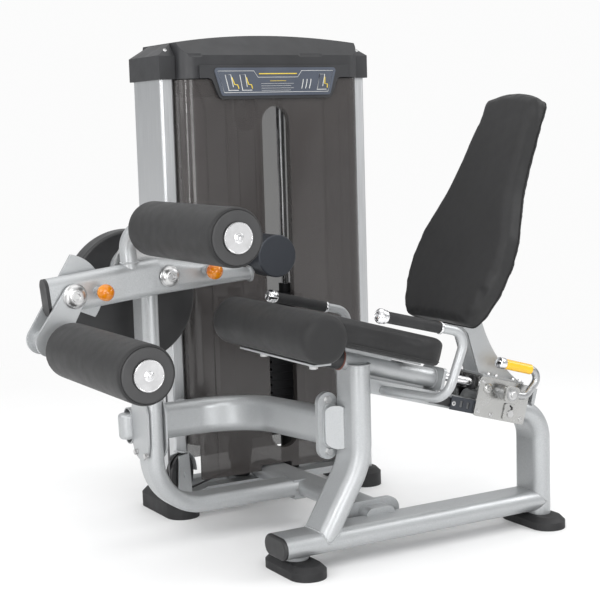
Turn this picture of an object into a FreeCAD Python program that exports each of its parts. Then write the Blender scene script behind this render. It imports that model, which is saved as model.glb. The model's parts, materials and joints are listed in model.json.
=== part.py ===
import FreeCAD, Part
import math
import os

# Seated leg curl machine with a selectorised weight tower.
# Millimetres, +Z up, +X towards the backrest, +Y towards the weight tower.
# The seat's middle plane is y = 0 while building; the finished model is moved
# so that its origin is the middle of its footprint on the floor.

V = FreeCAD.Vector
X_AXIS = V(1, 0, 0)
Y_AXIS = V(0, 1, 0)
Z_AXIS = V(0, 0, 1)

# ---- driving dimensions ----
TUBE_WIDE = 120.0        # flat-oval tube of the seat frame
TUBE_THICK = 60.0
LEVER_TUBE_WIDE = 100.0  # lighter flat-oval tube of the lever post and cross tube
LEVER_TUBE_THICK = 50.0
WALL = 3.0

FOOT_HEIGHT = 36.0
FOOT_RADIUS = 52.0
FOOT_HALF = 114.0
FRONT_FOOT_X = -269.0
REAR_POST_X = 545.0
BASE_Z = 76.0            # centre height of the base tube
BASE_FRONT_X = -322.0

SEAT_TILT = 16.0         # the rail and the seat fall towards the backrest
RAIL_ORIGIN = V(-79, 0, 550)
RAIL_RADIUS = 27.0
RAIL_FRONT = -128.0      # distances along the rail
RAIL_REAR = 275.0
ROD_RADIUS = 12.0
BUSH_RADIUS = 15.5
ROD_SPACING = 60.0
ROD_REAR = 606.0
ROD_UP = 12.0            # height of the slide rods above the rail line
CARRIAGE_FRONT = 392.0
CARRIAGE_REAR = 575.0

SEAT_HALF = 195.0
ROLL_X = -290.0
ROLL_Z = 655.0
ROLL_RADIUS = 68.0
ROLL_NEAR = -240.0       # the knee roll reaches further on the tower side
ROLL_FAR = 290.0
BACK_TILT = 25.0
BACK_X = 290.0           # front face of the backrest at BACK_Z
BACK_Z = 850.0

PIVOT_X = -465.0
PIVOT_Z = 788.0
ARM_NEAR = 310.0         # the lever arm's near face
ARM_FAR = 360.0
POST_X = -480.0
POST_Y = 445.0
CROSS_X = 20.0
CROSS_Z = 105.0
CAM_Y = 594.0
CAM_RADIUS = 105.0       # radius of the cable on the cam wheel
ANKLE_X = -745.0         # hinge of the ankle bracket
ANKLE_Z = 757.0
ANKLE_ROLL_X = -780.0
ANKLE_ROLL_Z = 623.0
UPPER_ROLL_X = -536.0
UPPER_ROLL_Z = 926.0
PAD_RADIUS = 75.0
PAD_NEAR = -242.0
PAD_FAR = 250.0
FRONT_PIN_X = -673.0
FRONT_PIN_Z = 764.0
REAR_PIN_X = -351.0
REAR_PIN_Z = 797.0

TOWER_LEFT = -305.0
TOWER_RIGHT = 412.0
TOWER_MIDDLE = 54.0
TOWER_FRONT = 670.0
TOWER_BACK = 870.0
COLUMN_WIDTH = 46.0
COLUMN_BOTTOM = 58.0
COLUMN_TOP = 1345.0
SHROUD_BULGE = 50.0
SHROUD_BOTTOM = 118.0
SHROUD_TOP = 1333.0
SLOT_HALF = 48.0
STACK_Y = 755.0
PLATE_COUNT = 17
PLATE_PITCH = 25.0
STACK_BOTTOM = 206.0
GUIDE_SPACING = 184.0

CABLE_RADIUS = 3.0
PULLEY_RADIUS = 57.0     # radius of the cable on each pulley
LOW_CABLE_Z = 90.0
TOP_PULLEY_Z = 1240.0
TOP_PULLEY_Y = STACK_Y + PULLEY_RADIUS


# ---- helpers ----
def box(x0, x1, y0, y1, z0, z1):
    return Part.makeBox(x1 - x0, y1 - y0, z1 - z0, V(x0, y0, z0))


def rod(start, end, radius):
    along = end - start
    return Part.makeCylinder(radius, along.Length, start, along)


def ring(start, end, outer, inner):
    return rod(start, end, outer).cut(rod(start, end, inner))


def y_rod(x, z, y0, y1, radius):
    return rod(V(x, y0, z), V(x, y1, z), radius)


def y_ring(x, z, y0, y1, outer, inner):
    return ring(V(x, y0, z), V(x, y1, z), outer, inner)


def join(shapes):
    whole = shapes[0]
    for shape in shapes[1:]:
        whole = whole.fuse(shape)
    return whole.removeSplitter()


def prism(points, along):
    wire = Part.makePolygon(points + [points[0]])
    return Part.Face(wire).extrude(along)


def oval_wire(centre, long_dir, short_dir, length, width):
    """A stadium outline: two straights joined by half circles."""
    r = width / 2.0
    half = length / 2.0 - r
    a = centre + long_dir * half + short_dir * r
    b = centre - long_dir * half + short_dir * r
    c = centre - long_dir * half - short_dir * r
    d = centre + long_dir * half - short_dir * r
    left = centre - long_dir * (half + r)
    right = centre + long_dir * (half + r)
    edges = [Part.makeLine(a, b), Part.Arc(b, left, c).toShape(),
             Part.makeLine(c, d), Part.Arc(d, right, a).toShape()]
    return Part.Wire(edges)


def oval_prism(centre, long_dir, short_dir, length, width, along):
    return Part.Face(oval_wire(centre, long_dir, short_dir, length, width)).extrude(along)


def path_wire(points, radii):
    """Straight runs joined by tangent arcs; one radius for each inner point."""
    edges = []
    start = points[0]
    for i, radius in enumerate(radii):
        corner = points[i + 1]
        into = (corner - points[i]).normalize()
        out = (points[i + 2] - corner).normalize()
        turn = into.getAngle(out)
        reach = radius * math.tan(turn / 2.0)
        first = corner - into * reach
        last = corner + out * reach
        inward = (out - into).normalize()
        middle = corner + inward * (radius / math.cos(turn / 2.0) - radius)
        edges.append(Part.makeLine(start, first))
        edges.append(Part.Arc(first, middle, last).toShape())
        start = last
    edges.append(Part.makeLine(start, points[-1]))
    return Part.Wire(edges)


def swept(profile, path):
    return path.makePipeShell([profile], True, True)


def round_bar(points, radii, radius):
    path = path_wire(points, radii)
    along = (points[1] - points[0]).normalize()
    profile = Part.Wire([Part.makeCircle(radius, points[0], along)])
    return swept(profile, path)


def oval_bar(points, radii, long_dir, length, width):
    """A flat-oval bar along a bent path."""
    path = path_wire(points, radii)
    along = (points[1] - points[0]).normalize()
    short_dir = along.cross(long_dir).normalize()
    wide = short_dir.cross(along).normalize()
    return swept(oval_wire(points[0], wide, short_dir, length, width), path)


def oval_tube(points, radii, long_dir, length, width, wall=WALL):
    outer = oval_bar(points, radii, long_dir, length, width)
    inner = oval_bar(points, radii, long_dir, length - 2 * wall, width - 2 * wall)
    return outer.cut(inner)


# the seat rail has its own axes: along it, falling to the rear, and up from it
SEAT_COS = math.cos(math.radians(SEAT_TILT))
SEAT_SIN = math.sin(math.radians(SEAT_TILT))
RAIL_DIR = V(SEAT_COS, 0, -SEAT_SIN)
RAIL_UP = V(SEAT_SIN, 0, SEAT_COS)


def on_rail(along, y, up):
    return RAIL_ORIGIN + RAIL_DIR * along + V(0, y, 0) + RAIL_UP * up


def rail_box(s0, s1, y0, y1, n0, n1):
    points = [on_rail(s0, y0, n0), on_rail(s1, y0, n0), on_rail(s1, y0, n1), on_rail(s0, y0, n1)]
    return prism(points, V(0, y1 - y0, 0))


# ---- seat frame ----
POST_BEND = V(REAR_POST_X, 0, 332)
REAR_POST_PATH = [V(REAR_POST_X, 0, FOOT_HEIGHT), POST_BEND, on_rail(432, 0, -38)]
FRONT_POST_PATH = [V(-200, 0, 70), V(-73, 0, 280), V(-73, 0, 545)]
BASE_PATH = [V(BASE_FRONT_X, 0, BASE_Z), V(REAR_POST_X, 0, BASE_Z)]


def base_solid():
    return oval_bar(BASE_PATH, [], Y_AXIS, TUBE_WIDE, TUBE_THICK)


def rear_post_solid():
    return oval_bar(REAR_POST_PATH, [95], Y_AXIS, TUBE_WIDE, TUBE_THICK)


def rail_solid():
    return rod(on_rail(RAIL_FRONT, 0, 0), on_rail(RAIL_REAR, 0, 0), RAIL_RADIUS)


def front_foot_stub():
    stub = rod(V(FRONT_FOOT_X, 0, FOOT_HEIGHT), V(FRONT_FOOT_X, 0, BASE_Z), 36)
    return stub.cut(base_solid())


def cross_flange(y0, y1):
    return oval_prism(V(CROSS_X, y0, CROSS_Z - 4), X_AXIS, Z_AXIS, 178, 74, V(0, y1 - y0, 0))


def base_tube():
    tube = oval_tube(BASE_PATH, [], Y_AXIS, TUBE_WIDE, TUBE_THICK)
    tube = tube.cut(rear_post_solid())
    joint = oval_prism(V(CROSS_X, 20, CROSS_Z - 4), X_AXIS, Z_AXIS, 96, 48, V(0, 42, 0))
    joint = joint.cut(base_solid())
    return join([tube, front_foot_stub(), joint, cross_flange(62, 70)])


def tube_end_caps():
    """The domed plug in the base tube and the sleeve over the rail's front end."""
    face = oval_prism(V(BASE_FRONT_X, 0, BASE_Z), Y_AXIS, Z_AXIS, TUBE_WIDE, TUBE_THICK, V(-10, 0, 0))
    rim = [e for e in face.Edges if e.BoundBox.XMax < BASE_FRONT_X - 9]
    face = face.makeFillet(8, rim)
    plug = oval_prism(V(BASE_FRONT_X, 0, BASE_Z), Y_AXIS, Z_AXIS, TUBE_WIDE - 2 * WALL,
                      TUBE_THICK - 2 * WALL, V(24, 0, 0))
    start = on_rail(RAIL_FRONT - 6, 0, 0)
    sleeve = rod(start, on_rail(-38, 0, 0), RAIL_RADIUS + 1.5)
    sleeve = sleeve.cut(rail_solid()).cut(front_post_solid())
    return [join([face, plug]), sleeve]


def front_post_solid():
    return oval_bar(FRONT_POST_PATH, [200], Y_AXIS, TUBE_WIDE, TUBE_THICK)


FLANGE_X = -126.0
FLANGE_Z = 370.0


def arm_flange(y0, y1):
    return oval_prism(V(FLANGE_X, y0, FLANGE_Z), Z_AXIS, X_AXIS, 186, 62, V(0, y1 - y0, 0))


def front_post():
    tube = oval_tube(FRONT_POST_PATH, [200], Y_AXIS, TUBE_WIDE, TUBE_THICK)
    tube = tube.cut(base_solid()).cut(rail_solid())
    tube = tube.cut(box(-260, -140, -TUBE_WIDE, TUBE_WIDE, 0, BASE_Z + 4))
    stub = oval_prism(V(FLANGE_X + 8, 0, FLANGE_Z), Z_AXIS, X_AXIS, 120, 46, V(0, 50, 0))
    slope = prism([V(-200, -20, 200), V(-90, -20, 200), V(-141, 40, 200), V(-200, 40, 200)], V(0, 0, 400))
    stub = stub.cut(slope).cut(front_post_solid())
    lid = oval_prism(V(-73, 0, 541), Y_AXIS, X_AXIS, TUBE_WIDE, TUBE_THICK, V(0, 0, 4)).cut(rail_solid())
    return join([tube, stub, arm_flange(50, 58), lid])


def rear_post():
    tube = oval_tube(REAR_POST_PATH, [95], Y_AXIS, TUBE_WIDE, TUBE_THICK)
    end = rail_box(426, 432, -57, 57, -64, -12)
    stop = rail_box(ROD_REAR - 6, ROD_REAR + 6, -56, 56, -14, 32)
    stop = stop.cut(rear_post_solid())
    return join([tube, end.common(rear_post_solid()), stop])


def foot(x, y, half, height):
    """A tapered rubber foot, long across the machine."""
    lower = oval_prism(V(x, y, 0), Y_AXIS, X_AXIS, 2 * half, 2 * FOOT_RADIUS, V(0, 0, height))
    top = [e for e in lower.Edges if e.BoundBox.ZMin > height - 1]
    return lower.makeChamfer(14, top)


def rubber_feet():
    left = TOWER_LEFT + COLUMN_WIDTH / 2.0
    right = TOWER_RIGHT - COLUMN_WIDTH / 2.0
    middle = (TOWER_FRONT + TOWER_BACK) / 2.0
    feet = [foot(FRONT_FOOT_X, 0, FOOT_HALF, FOOT_HEIGHT), foot(REAR_POST_X, 0, FOOT_HALF, FOOT_HEIGHT)]
    for x in (left, right):
        feet.append(foot(x, middle, 140, COLUMN_BOTTOM))
    return feet


# ---- lower frame between the seat and the tower ----
CROSS_END = 700.0


def cross_tube():
    points = [V(CROSS_X, 78, CROSS_Z), V(CROSS_X, CROSS_END, CROSS_Z)]
    tube = oval_tube(points, [], X_AXIS, LEVER_TUBE_WIDE, LEVER_TUBE_THICK)
    cap = oval_prism(V(CROSS_X, CROSS_END, CROSS_Z), X_AXIS, Z_AXIS, LEVER_TUBE_WIDE, LEVER_TUBE_THICK,
                     V(0, 6, 0))
    return join([tube, cap, cross_flange(70, 78)])


ARM_HEIGHT = 106.0
ARM_THICK = 56.0
ARM_END_X = -514.0
ARM_SLOPE = 3.6          # the connecting arm falls gently towards the tower side
ARM_REAR_Y = 530.0


def connecting_arm():
    """Runs from the front post back past the lever post, bent once in plan."""
    start = V(FLANGE_X, 56, FLANGE_Z)
    corner = V(FLANGE_X, ARM_REAR_Y, FLANGE_Z)
    end = V(ARM_END_X, ARM_REAR_Y, FLANGE_Z)
    tube = oval_tube([start, corner, end], [170], Z_AXIS, ARM_HEIGHT, ARM_THICK)
    nose = Part.makeCylinder(ARM_THICK / 2, ARM_HEIGHT - 30,
                             V(ARM_END_X, ARM_REAR_Y, FLANGE_Z - ARM_HEIGHT / 2 + 15))
    nose = nose.makeFillet(12, [e for e in nose.Edges if len(e.Vertexes) == 1])
    strut = oval_prism(V(-282, ARM_REAR_Y + 22, FLANGE_Z), Z_AXIS, X_AXIS, 80, 40,
                       V(0, TOWER_FRONT - ARM_REAR_Y, 0))
    arm = join([tube, nose, strut])
    arm.rotate(start, X_AXIS, -ARM_SLOPE)
    arm = arm.cut(box(-320, -240, TOWER_FRONT, TOWER_FRONT + 200, 200, 500))
    arm = arm.cut(box(-200, -60, 0, 66, 200, 500))
    return join([arm.cut(lever_post_solid()), arm_flange(58, 66)])


LEVER_POST_PATH = [V(POST_X, POST_Y, 770), V(POST_X, POST_Y, CROSS_Z), V(CROSS_X - 44, POST_Y, CROSS_Z)]


def lever_post_solid():
    return oval_bar(LEVER_POST_PATH, [150], Y_AXIS, LEVER_TUBE_WIDE, LEVER_TUBE_THICK)


def lever_post():
    """The J-shaped post that carries the lever's bearing."""
    tube = oval_tube(LEVER_POST_PATH, [150], Y_AXIS, LEVER_TUBE_WIDE, LEVER_TUBE_THICK)
    tube = tube.cut(y_rod(PIVOT_X, PIVOT_Z, 380, 600, 46))
    cross = oval_bar([V(CROSS_X, 200, CROSS_Z), V(CROSS_X, 700, CROSS_Z)], [], X_AXIS,
                     LEVER_TUBE_WIDE, LEVER_TUBE_THICK)
    clamp = box(CROSS_X - 58, CROSS_X - 20, POST_Y - 42, POST_Y + 42, CROSS_Z - 32, CROSS_Z + 27)
    clamp = clamp.cut(cross)
    return join([tube.cut(cross), clamp])


def post_clamp_plates():
    """Two plates on the connecting arm that hold the lever post between them."""
    plates = []
    for side in (-1, 1):
        x0 = POST_X + side * (LEVER_TUBE_THICK / 2 + 3) - 3
        plates.append(oval_prism(V(x0, 452, 346), Z_AXIS, Y_AXIS, 186, 112, V(6, 0, 0)))
    return plates


def bolt(centre, direction, head, length):
    """A hexagon head with its washer and shank."""
    away = direction.normalize()
    washer = rod(centre, centre + away * 2, head * 1.15)
    side = away.cross(Z_AXIS if abs(away.z) < 0.9 else X_AXIS).normalize()
    up = away.cross(side)
    corners = []
    for i in range(6):
        angle = math.radians(60 * i)
        corners.append(centre + away * 2 + side * (head * math.cos(angle)) + up * (head * math.sin(angle)))
    hexagon = prism(corners, away * (head * 0.7))
    shank = rod(centre - away * length, centre, head * 0.5)
    return join([washer, hexagon, shank])


def frame_bolts():
    bolts = []
    toward = V(0, -1, 0)
    for z in (FLANGE_Z - 72, FLANGE_Z + 72):
        bolts.append(bolt(V(FLANGE_X, 50, z), toward, 10, 16))
    for x in (CROSS_X - 72, CROSS_X + 72):
        bolts.append(bolt(V(x, 78, CROSS_Z - 4), Y_AXIS, 9, 16))
    for y in (410, 480):
        bolts.append(bolt(V(POST_X - 31, y, 272), V(-1, 0, 0), 8, 6))
    bolts.append(bolt(V(CROSS_X - 48, POST_Y - 42, CROSS_Z), toward, 9, 8))
    for y in (-ROD_SPACING / 2, ROD_SPACING / 2):
        bolts.append(bolt(on_rail(ROD_REAR + 6, y, ROD_UP), RAIL_DIR * 1.0, 9, 6))
    for y in (-175, 85):
        bolts.append(bolt(V(ROLL_X - 8, y, 586), V(0, 0, -1), 11, 5))
    return bolts


# ---- seat rail, slide rods and index plate ----
def seat_rail():
    tube = ring(on_rail(RAIL_FRONT, 0, 0), on_rail(RAIL_REAR, 0, 0), RAIL_RADIUS, RAIL_RADIUS - WALL)
    end = rail_box(RAIL_REAR, RAIL_REAR + 10, -52, 52, -30, 34)
    rear_edges = [e for e in end.Edges if abs(e.BoundBox.YLength) < 1 and e.Length < 11]
    end = end.makeFillet(10, rear_edges)
    return join([tube, end])


def slide_rods():
    return [rod(on_rail(RAIL_REAR + 10, y, ROD_UP), on_rail(ROD_REAR - 6, y, ROD_UP), ROD_RADIUS)
            for y in (-ROD_SPACING / 2, ROD_SPACING / 2)]


def rail_channel():
    """The box section under the rail, between the two posts."""
    outer = rail_box(20, 426, -32, 32, -74, -34)
    inner = rail_box(10, 430, -29, 29, -71, -37)
    outer = outer.cut(inner).cut(front_post_solid())
    web = rail_box(RAIL_REAR, RAIL_REAR + 10, -32, 32, -34, -30)
    saddle = rail_box(60, 250, -6, 6, -34, -20).cut(rail_solid())
    return join([outer, web, saddle])


SLOT_PITCH = 24.0
SLOT_FIRST = 348.0
SLOT_COUNT = 8
LATCH_AT = 516.0
LATCH_UP = -54.0


def index_plate():
    """A dark plate with a row of slots that the backrest's latch drops into."""
    plate = rail_box(312, 560, -63.5, -60.5, -74, -36)
    for i in range(SLOT_COUNT):
        s = SLOT_FIRST + SLOT_PITCH * i
        plate = plate.cut(rail_box(s - 5, s + 5, -70, -55, LATCH_UP - 9, LATCH_UP + 9))
    spacer = rail_box(316, 340, -60.5, -32, -68, -42)
    plate = join([plate, spacer])
    return plate


def rail_stop():
    """The rubber stop cylinder ahead of the index plate."""
    return rod(on_rail(250, -47, -55), on_rail(312, -47, -55), 12)


def seat_plate():
    """The pan under the seat and the flat bar under the knee roll."""
    pan = rail_box(-140, 150, -110, 110, 29, 34)
    bar = box(ROLL_X - 24, ROLL_X + 26, -205, 195, 586, 591)
    riser = prism([V(ROLL_X + 26, -60, 586), on_rail(-140, -60, 29), on_rail(-140, -60, 34),
                   V(ROLL_X + 26, -60, 591)], V(0, 120, 0))
    saddle = rail_box(-34, 120, -14, 14, 15, 29).cut(rail_solid())
    return join([pan, bar, riser, saddle])


def knee_roll():
    roll = y_rod(ROLL_X, ROLL_Z, ROLL_NEAR, ROLL_FAR, ROLL_RADIUS)
    rims = [e for e in roll.Edges if len(e.Vertexes) == 1]
    roll = roll.makeFillet(26, rims)
    roll = roll.cut(box(ROLL_X - 100, ROLL_X + 100, -300, 300, 500, 591.5))
    clear = rail_box(-160, 20, -112, 112, 20, 34.5)
    return roll.cut(clear)


def seat_pad():
    bottom = 34.5
    top = 106.0
    rear = 188.0
    corner = 70.0
    front = -205.0
    profile = [Part.makeLine(on_rail(front, -SEAT_HALF, bottom), on_rail(rear - corner, -SEAT_HALF, bottom))]
    diagonal = corner * (1 - math.sqrt(0.5))
    profile.append(Part.Arc(on_rail(rear - corner, -SEAT_HALF, bottom),
                            on_rail(rear - diagonal, -SEAT_HALF + diagonal, bottom),
                            on_rail(rear, -SEAT_HALF + corner, bottom)).toShape())
    profile.append(Part.makeLine(on_rail(rear, -SEAT_HALF + corner, bottom),
                                 on_rail(rear, SEAT_HALF - corner, bottom)))
    profile.append(Part.Arc(on_rail(rear, SEAT_HALF - corner, bottom),
                            on_rail(rear - diagonal, SEAT_HALF - diagonal, bottom),
                            on_rail(rear - corner, SEAT_HALF, bottom)).toShape())
    profile.append(Part.makeLine(on_rail(rear - corner, SEAT_HALF, bottom), on_rail(front, SEAT_HALF, bottom)))
    profile.append(Part.makeLine(on_rail(front, SEAT_HALF, bottom), on_rail(front, -SEAT_HALF, bottom)))
    pad = Part.Face(Part.Wire(profile)).extrude(RAIL_UP * (top - bottom))
    rounded = [e for e in pad.Edges if abs((e.CenterOfMass - RAIL_ORIGIN).dot(RAIL_UP) - top) < 0.5]
    rounded = [e for e in rounded if (e.CenterOfMass - RAIL_ORIGIN).dot(RAIL_DIR) > front + 5]
    pad = pad.makeFillet(16, rounded)
    gap = y_rod(ROLL_X, ROLL_Z, -300, 320, ROLL_RADIUS + 0.4)
    slab = box(ROLL_X - 200, ROLL_X, -300, 300, 500, 800)
    return pad.cut(gap).cut(slab)


# ---- handles ----
HANDLE_POINTS = [V(2, -32, 466), V(38, -276, 472), V(100, -284, 641), V(-150, -284, 706)]
HANDLE_RADII = [55, 42]
GRIP_LENGTH = 166.0
HANDLE_RADIUS = 12.5


def handle_point(distance):
    """A point on the handle's straight grip, measured back from its front end."""
    back = (HANDLE_POINTS[2] - HANDLE_POINTS[3]).normalize()
    return HANDLE_POINTS[3] + back * distance


def both_sides(shape):
    return [shape, shape.mirror(V(0, 0, 0), Y_AXIS)]


def handle_tubes():
    outer = round_bar(HANDLE_POINTS, HANDLE_RADII, HANDLE_RADIUS)
    outer = outer.cut(rail_box(20, 426, -32, 32, -74, -34))
    collar = ring(handle_point(GRIP_LENGTH + 2), handle_point(GRIP_LENGTH + 8), HANDLE_RADIUS + 3,
                  HANDLE_RADIUS - 1)
    return both_sides(join([outer, collar]))


def handle_grips():
    grip = ring(handle_point(2), handle_point(GRIP_LENGTH + 2), 15, HANDLE_RADIUS)
    return both_sides(grip)


def handle_caps():
    out = (HANDLE_POINTS[3] - HANDLE_POINTS[2]).normalize()
    start = HANDLE_POINTS[3]
    cap = rod(start, start + out * 26, 17)
    rims = [e for e in cap.Edges if len(e.Vertexes) == 1]
    cap = cap.makeFillet(4, rims)
    collar = ring(start, handle_point(2), 16, HANDLE_RADIUS)
    return both_sides(join([cap, collar]))


# ---- backrest carriage ----
def carriage_box():
    parts = []
    for y0 in (-70, 64):
        plate = rail_box(CARRIAGE_FRONT, CARRIAGE_REAR, y0, y0 + 6, -78, 36)
        corners = [e for e in plate.Edges if abs(e.Length - 6) < 0.1]
        parts.append(plate.makeFillet(10, corners))
    parts.append(rail_box(CARRIAGE_FRONT + 11, CARRIAGE_REAR - 11, -68, 68, 30, 35.5))
    for s in (CARRIAGE_FRONT + 4, CARRIAGE_REAR - 12):
        wall = rail_box(s, s + 8, -66, 66, -6, 33)
        for y in (-ROD_SPACING / 2, ROD_SPACING / 2):
            wall = wall.cut(rod(on_rail(s - 5, y, ROD_UP), on_rail(s + 15, y, ROD_UP), BUSH_RADIUS))
        parts.append(wall)
    box_shape = join(parts)
    box_shape = box_shape.cut(rod(on_rail(LATCH_AT, -80, LATCH_UP), on_rail(LATCH_AT, -60, LATCH_UP), 4.1))
    return box_shape.cut(rod(on_rail(484, -80, 2), on_rail(484, -60, 2), 6))


def carriage_bushes():
    bushes = []
    for s in (CARRIAGE_FRONT - 4, CARRIAGE_REAR - 14):
        for y in (-ROD_SPACING / 2, ROD_SPACING / 2):
            bushes.append(ring(on_rail(s, y, ROD_UP), on_rail(s + 18, y, ROD_UP), BUSH_RADIUS,
                               ROD_RADIUS + 0.05))
    return bushes


BACK_SIN = math.sin(math.radians(BACK_TILT))
BACK_COS = math.cos(math.radians(BACK_TILT))
BACK_UP = V(BACK_SIN, 0, BACK_COS)
BACK_OUT = V(-BACK_COS, 0, BACK_SIN)
PAD_DEPTH = 56.0


def on_back(up, y, out):
    """A point measured up the backrest, across it, and out from its back face."""
    origin = V(BACK_X, 0, BACK_Z) - BACK_OUT * PAD_DEPTH
    return origin + BACK_UP * up + V(0, y, 0) + BACK_OUT * out


def backrest_pad():
    """The tapered pad: narrow and arched at the top, widest a third of the way up."""
    corners = [(-236, 142, 32), (-200, 178, 60), (-128, 208, 120), (-47, 218, 140), (27, 208, 140),
               (90, 184, 90), (160, 158, 300), (243, 142, 300), (340, 131, 300), (446, 118, 26)]
    mirrored = [(u, -y, r) for u, y, r in corners[::-1]]
    middle = on_back(-236, 0, 0)
    points = [on_back(u, y, 0) for u, y, r in corners + [(474, 0, 0)] + mirrored]
    radii = [r for u, y, r in corners] + [330] + [r for u, y, r in mirrored]
    wire = path_wire([middle] + points + [middle], radii)
    pad = Part.Face(wire).extrude(BACK_OUT * PAD_DEPTH)
    front = [e for e in pad.Edges
             if abs((e.CenterOfMass - on_back(0, 0, 0)).dot(BACK_OUT) - PAD_DEPTH) < 0.5]
    return pad.makeFillet(14, front)


def backrest_bracket():
    """Two cheeks rising from the carriage, with a plate behind the pad."""
    foot_front = on_rail(CARRIAGE_FRONT + 14, 0, 42)
    foot_rear = on_rail(CARRIAGE_REAR - 20, 0, 42)
    cheeks = []
    for y0 in (-36, 30):
        shift = V(0, y0, 0)
        a = foot_front + shift
        b = foot_rear + shift
        c = on_back(-60, y0, -6)
        d = on_back(-215, y0, -6)
        low = on_back(-232, y0, -50)
        curve = Part.Arc(b, on_back(-215, y0, -112), c)
        edges = [Part.makeLine(a, b), curve.toShape(), Part.makeLine(c, d), Part.makeLine(d, low),
                 Part.makeLine(low, a)]
        cheeks.append(Part.Face(Part.Wire(edges)).extrude(V(0, 6, 0)))
    base = rail_box(CARRIAGE_FRONT + 14, CARRIAGE_REAR - 20, -58, 58, 35.5, 42)
    plate = prism([on_back(-220, -55, -6), on_back(-220, 55, -6), on_back(-50, 55, -6), on_back(-50, -55, -6)],
                  BACK_OUT * 5.8)
    return join(cheeks + [base, plate])


LEVER_Y = -96.0
LEVER_RADIUS = 11.0


def release_lever():
    points = [on_rail(484, LEVER_Y, 2), on_rail(540, LEVER_Y, 4), on_rail(584, LEVER_Y, 82),
              on_rail(440, LEVER_Y, 82)]
    bar = round_bar(points, [30, 26], LEVER_RADIUS)
    boss = rod(on_rail(484, LEVER_Y - 12, 2), on_rail(484, -70.3, 2), 19)
    spindle = rod(on_rail(484, -71, 2), on_rail(484, -62, 2), 5.95)
    knob = rod(on_rail(440, LEVER_Y, 82), on_rail(420, LEVER_Y, 82), 15.5)
    rims = [e for e in knob.Edges if len(e.Vertexes) == 1]
    front = min(rims, key=lambda e: e.CenterOfMass.x)
    return join([bar, boss, spindle, knob.makeFillet(8, [front])])


def release_grip():
    return ring(on_rail(440, LEVER_Y, 82), on_rail(536, LEVER_Y, 82), 14.5, LEVER_RADIUS)


def latch_pin():
    pin = rod(on_rail(LATCH_AT, -70, LATCH_UP), on_rail(LATCH_AT, -63.9, LATCH_UP), 4)
    head = rod(on_rail(LATCH_AT, -78, LATCH_UP), on_rail(LATCH_AT, -70.3, LATCH_UP), 10)
    neck = rod(on_rail(LATCH_AT, -70.3, LATCH_UP), on_rail(LATCH_AT, -70, LATCH_UP), 4)
    return join([pin, head, neck])


# ---- lever post bearing, cam and cover ----
AXLE_RADIUS = 20.0
BEARING_RADIUS = 36.0
PIN_RADIUS = 6.0


def adjuster_slot(centre_x, centre_z, pin_x, pin_z, y0, y1, step, steps):
    """A curved slot that a pull pin runs in, with a wider seat at each setting."""
    reach = math.hypot(pin_x - centre_x, pin_z - centre_z)
    start = math.atan2(pin_z - centre_z, pin_x - centre_x)
    centre = V(centre_x, 0, centre_z)
    out = V(math.cos(start), 0, math.sin(start))
    near = centre + out * (reach - PIN_RADIUS - 0.3)
    far = centre + out * (reach + PIN_RADIUS + 0.3)
    strip = Part.makePolygon([near + V(0, y0, 0), far + V(0, y0, 0), far + V(0, y1, 0), near + V(0, y1, 0),
                              near + V(0, y0, 0)])
    slot = Part.Face(strip).revolve(centre, V(0, -1, 0), step * steps)
    for i in range(steps + 1):
        angle = start + math.radians(step * i)
        x = centre_x + reach * math.cos(angle)
        z = centre_z + reach * math.sin(angle)
        slot = slot.fuse(y_rod(x, z, y0, y1, PIN_RADIUS + 2))
    return slot


def hub_housing():
    shell = y_ring(PIVOT_X, PIVOT_Z, 395, 566, 46, BEARING_RADIUS)
    flange = y_ring(PIVOT_X, PIVOT_Z, 560, 566, 70, BEARING_RADIUS)
    return join([shell, flange])


def hub_bearings():
    return [y_ring(PIVOT_X, PIVOT_Z, y, y + 16, BEARING_RADIUS, AXLE_RADIUS + 0.04) for y in (397, 546)]


COVER_X = -462.0
COVER_Z = 709.0
COVER_RADIUS = 195.0
COVER_NEAR = 566.0
COVER_FAR = 632.0


def cam_cover():
    """A round guard around the cam, open below where the cable leaves."""
    outer = y_rod(COVER_X, COVER_Z, COVER_NEAR, COVER_FAR, COVER_RADIUS)
    rims = [e for e in outer.Edges if len(e.Vertexes) == 1]
    outer = outer.makeFillet(8, rims)
    inner = y_rod(COVER_X, COVER_Z, COVER_NEAR + 4, COVER_FAR - 4, COVER_RADIUS - 4)
    guard = outer.cut(inner)
    guard = guard.cut(y_rod(PIVOT_X, PIVOT_Z, COVER_NEAR - 5, COVER_NEAR + 10, 30))
    cable_x = PIVOT_X + CAM_RADIUS
    exit_box = box(cable_x - 14, cable_x + 14, CAM_Y - 12, CAM_Y + 12, 480, 640)
    return guard.cut(exit_box)


def hub_axle():
    """The axle, its domed head and the half disc with the start-position holes."""
    axle = y_rod(PIVOT_X, PIVOT_Z, 306, 622, AXLE_RADIUS)
    head = y_rod(PIVOT_X, PIVOT_Z, 290, 309, 24)
    rim = [e for e in head.Edges if len(e.Vertexes) == 1 and e.BoundBox.YMax < 292]
    head = head.makeFillet(9, rim)
    disc = y_rod(PIVOT_X, PIVOT_Z, 366, 378, 140)
    disc = disc.cut(box(PIVOT_X - 150, PIVOT_X + 150, 360, 390, PIVOT_Z - 150, PIVOT_Z - 38))
    slot = adjuster_slot(PIVOT_X, PIVOT_Z, REAR_PIN_X, REAR_PIN_Z, 360, 390, 8.0, 2)
    disc = disc.cut(slot)
    return join([axle, head, disc])


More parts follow.
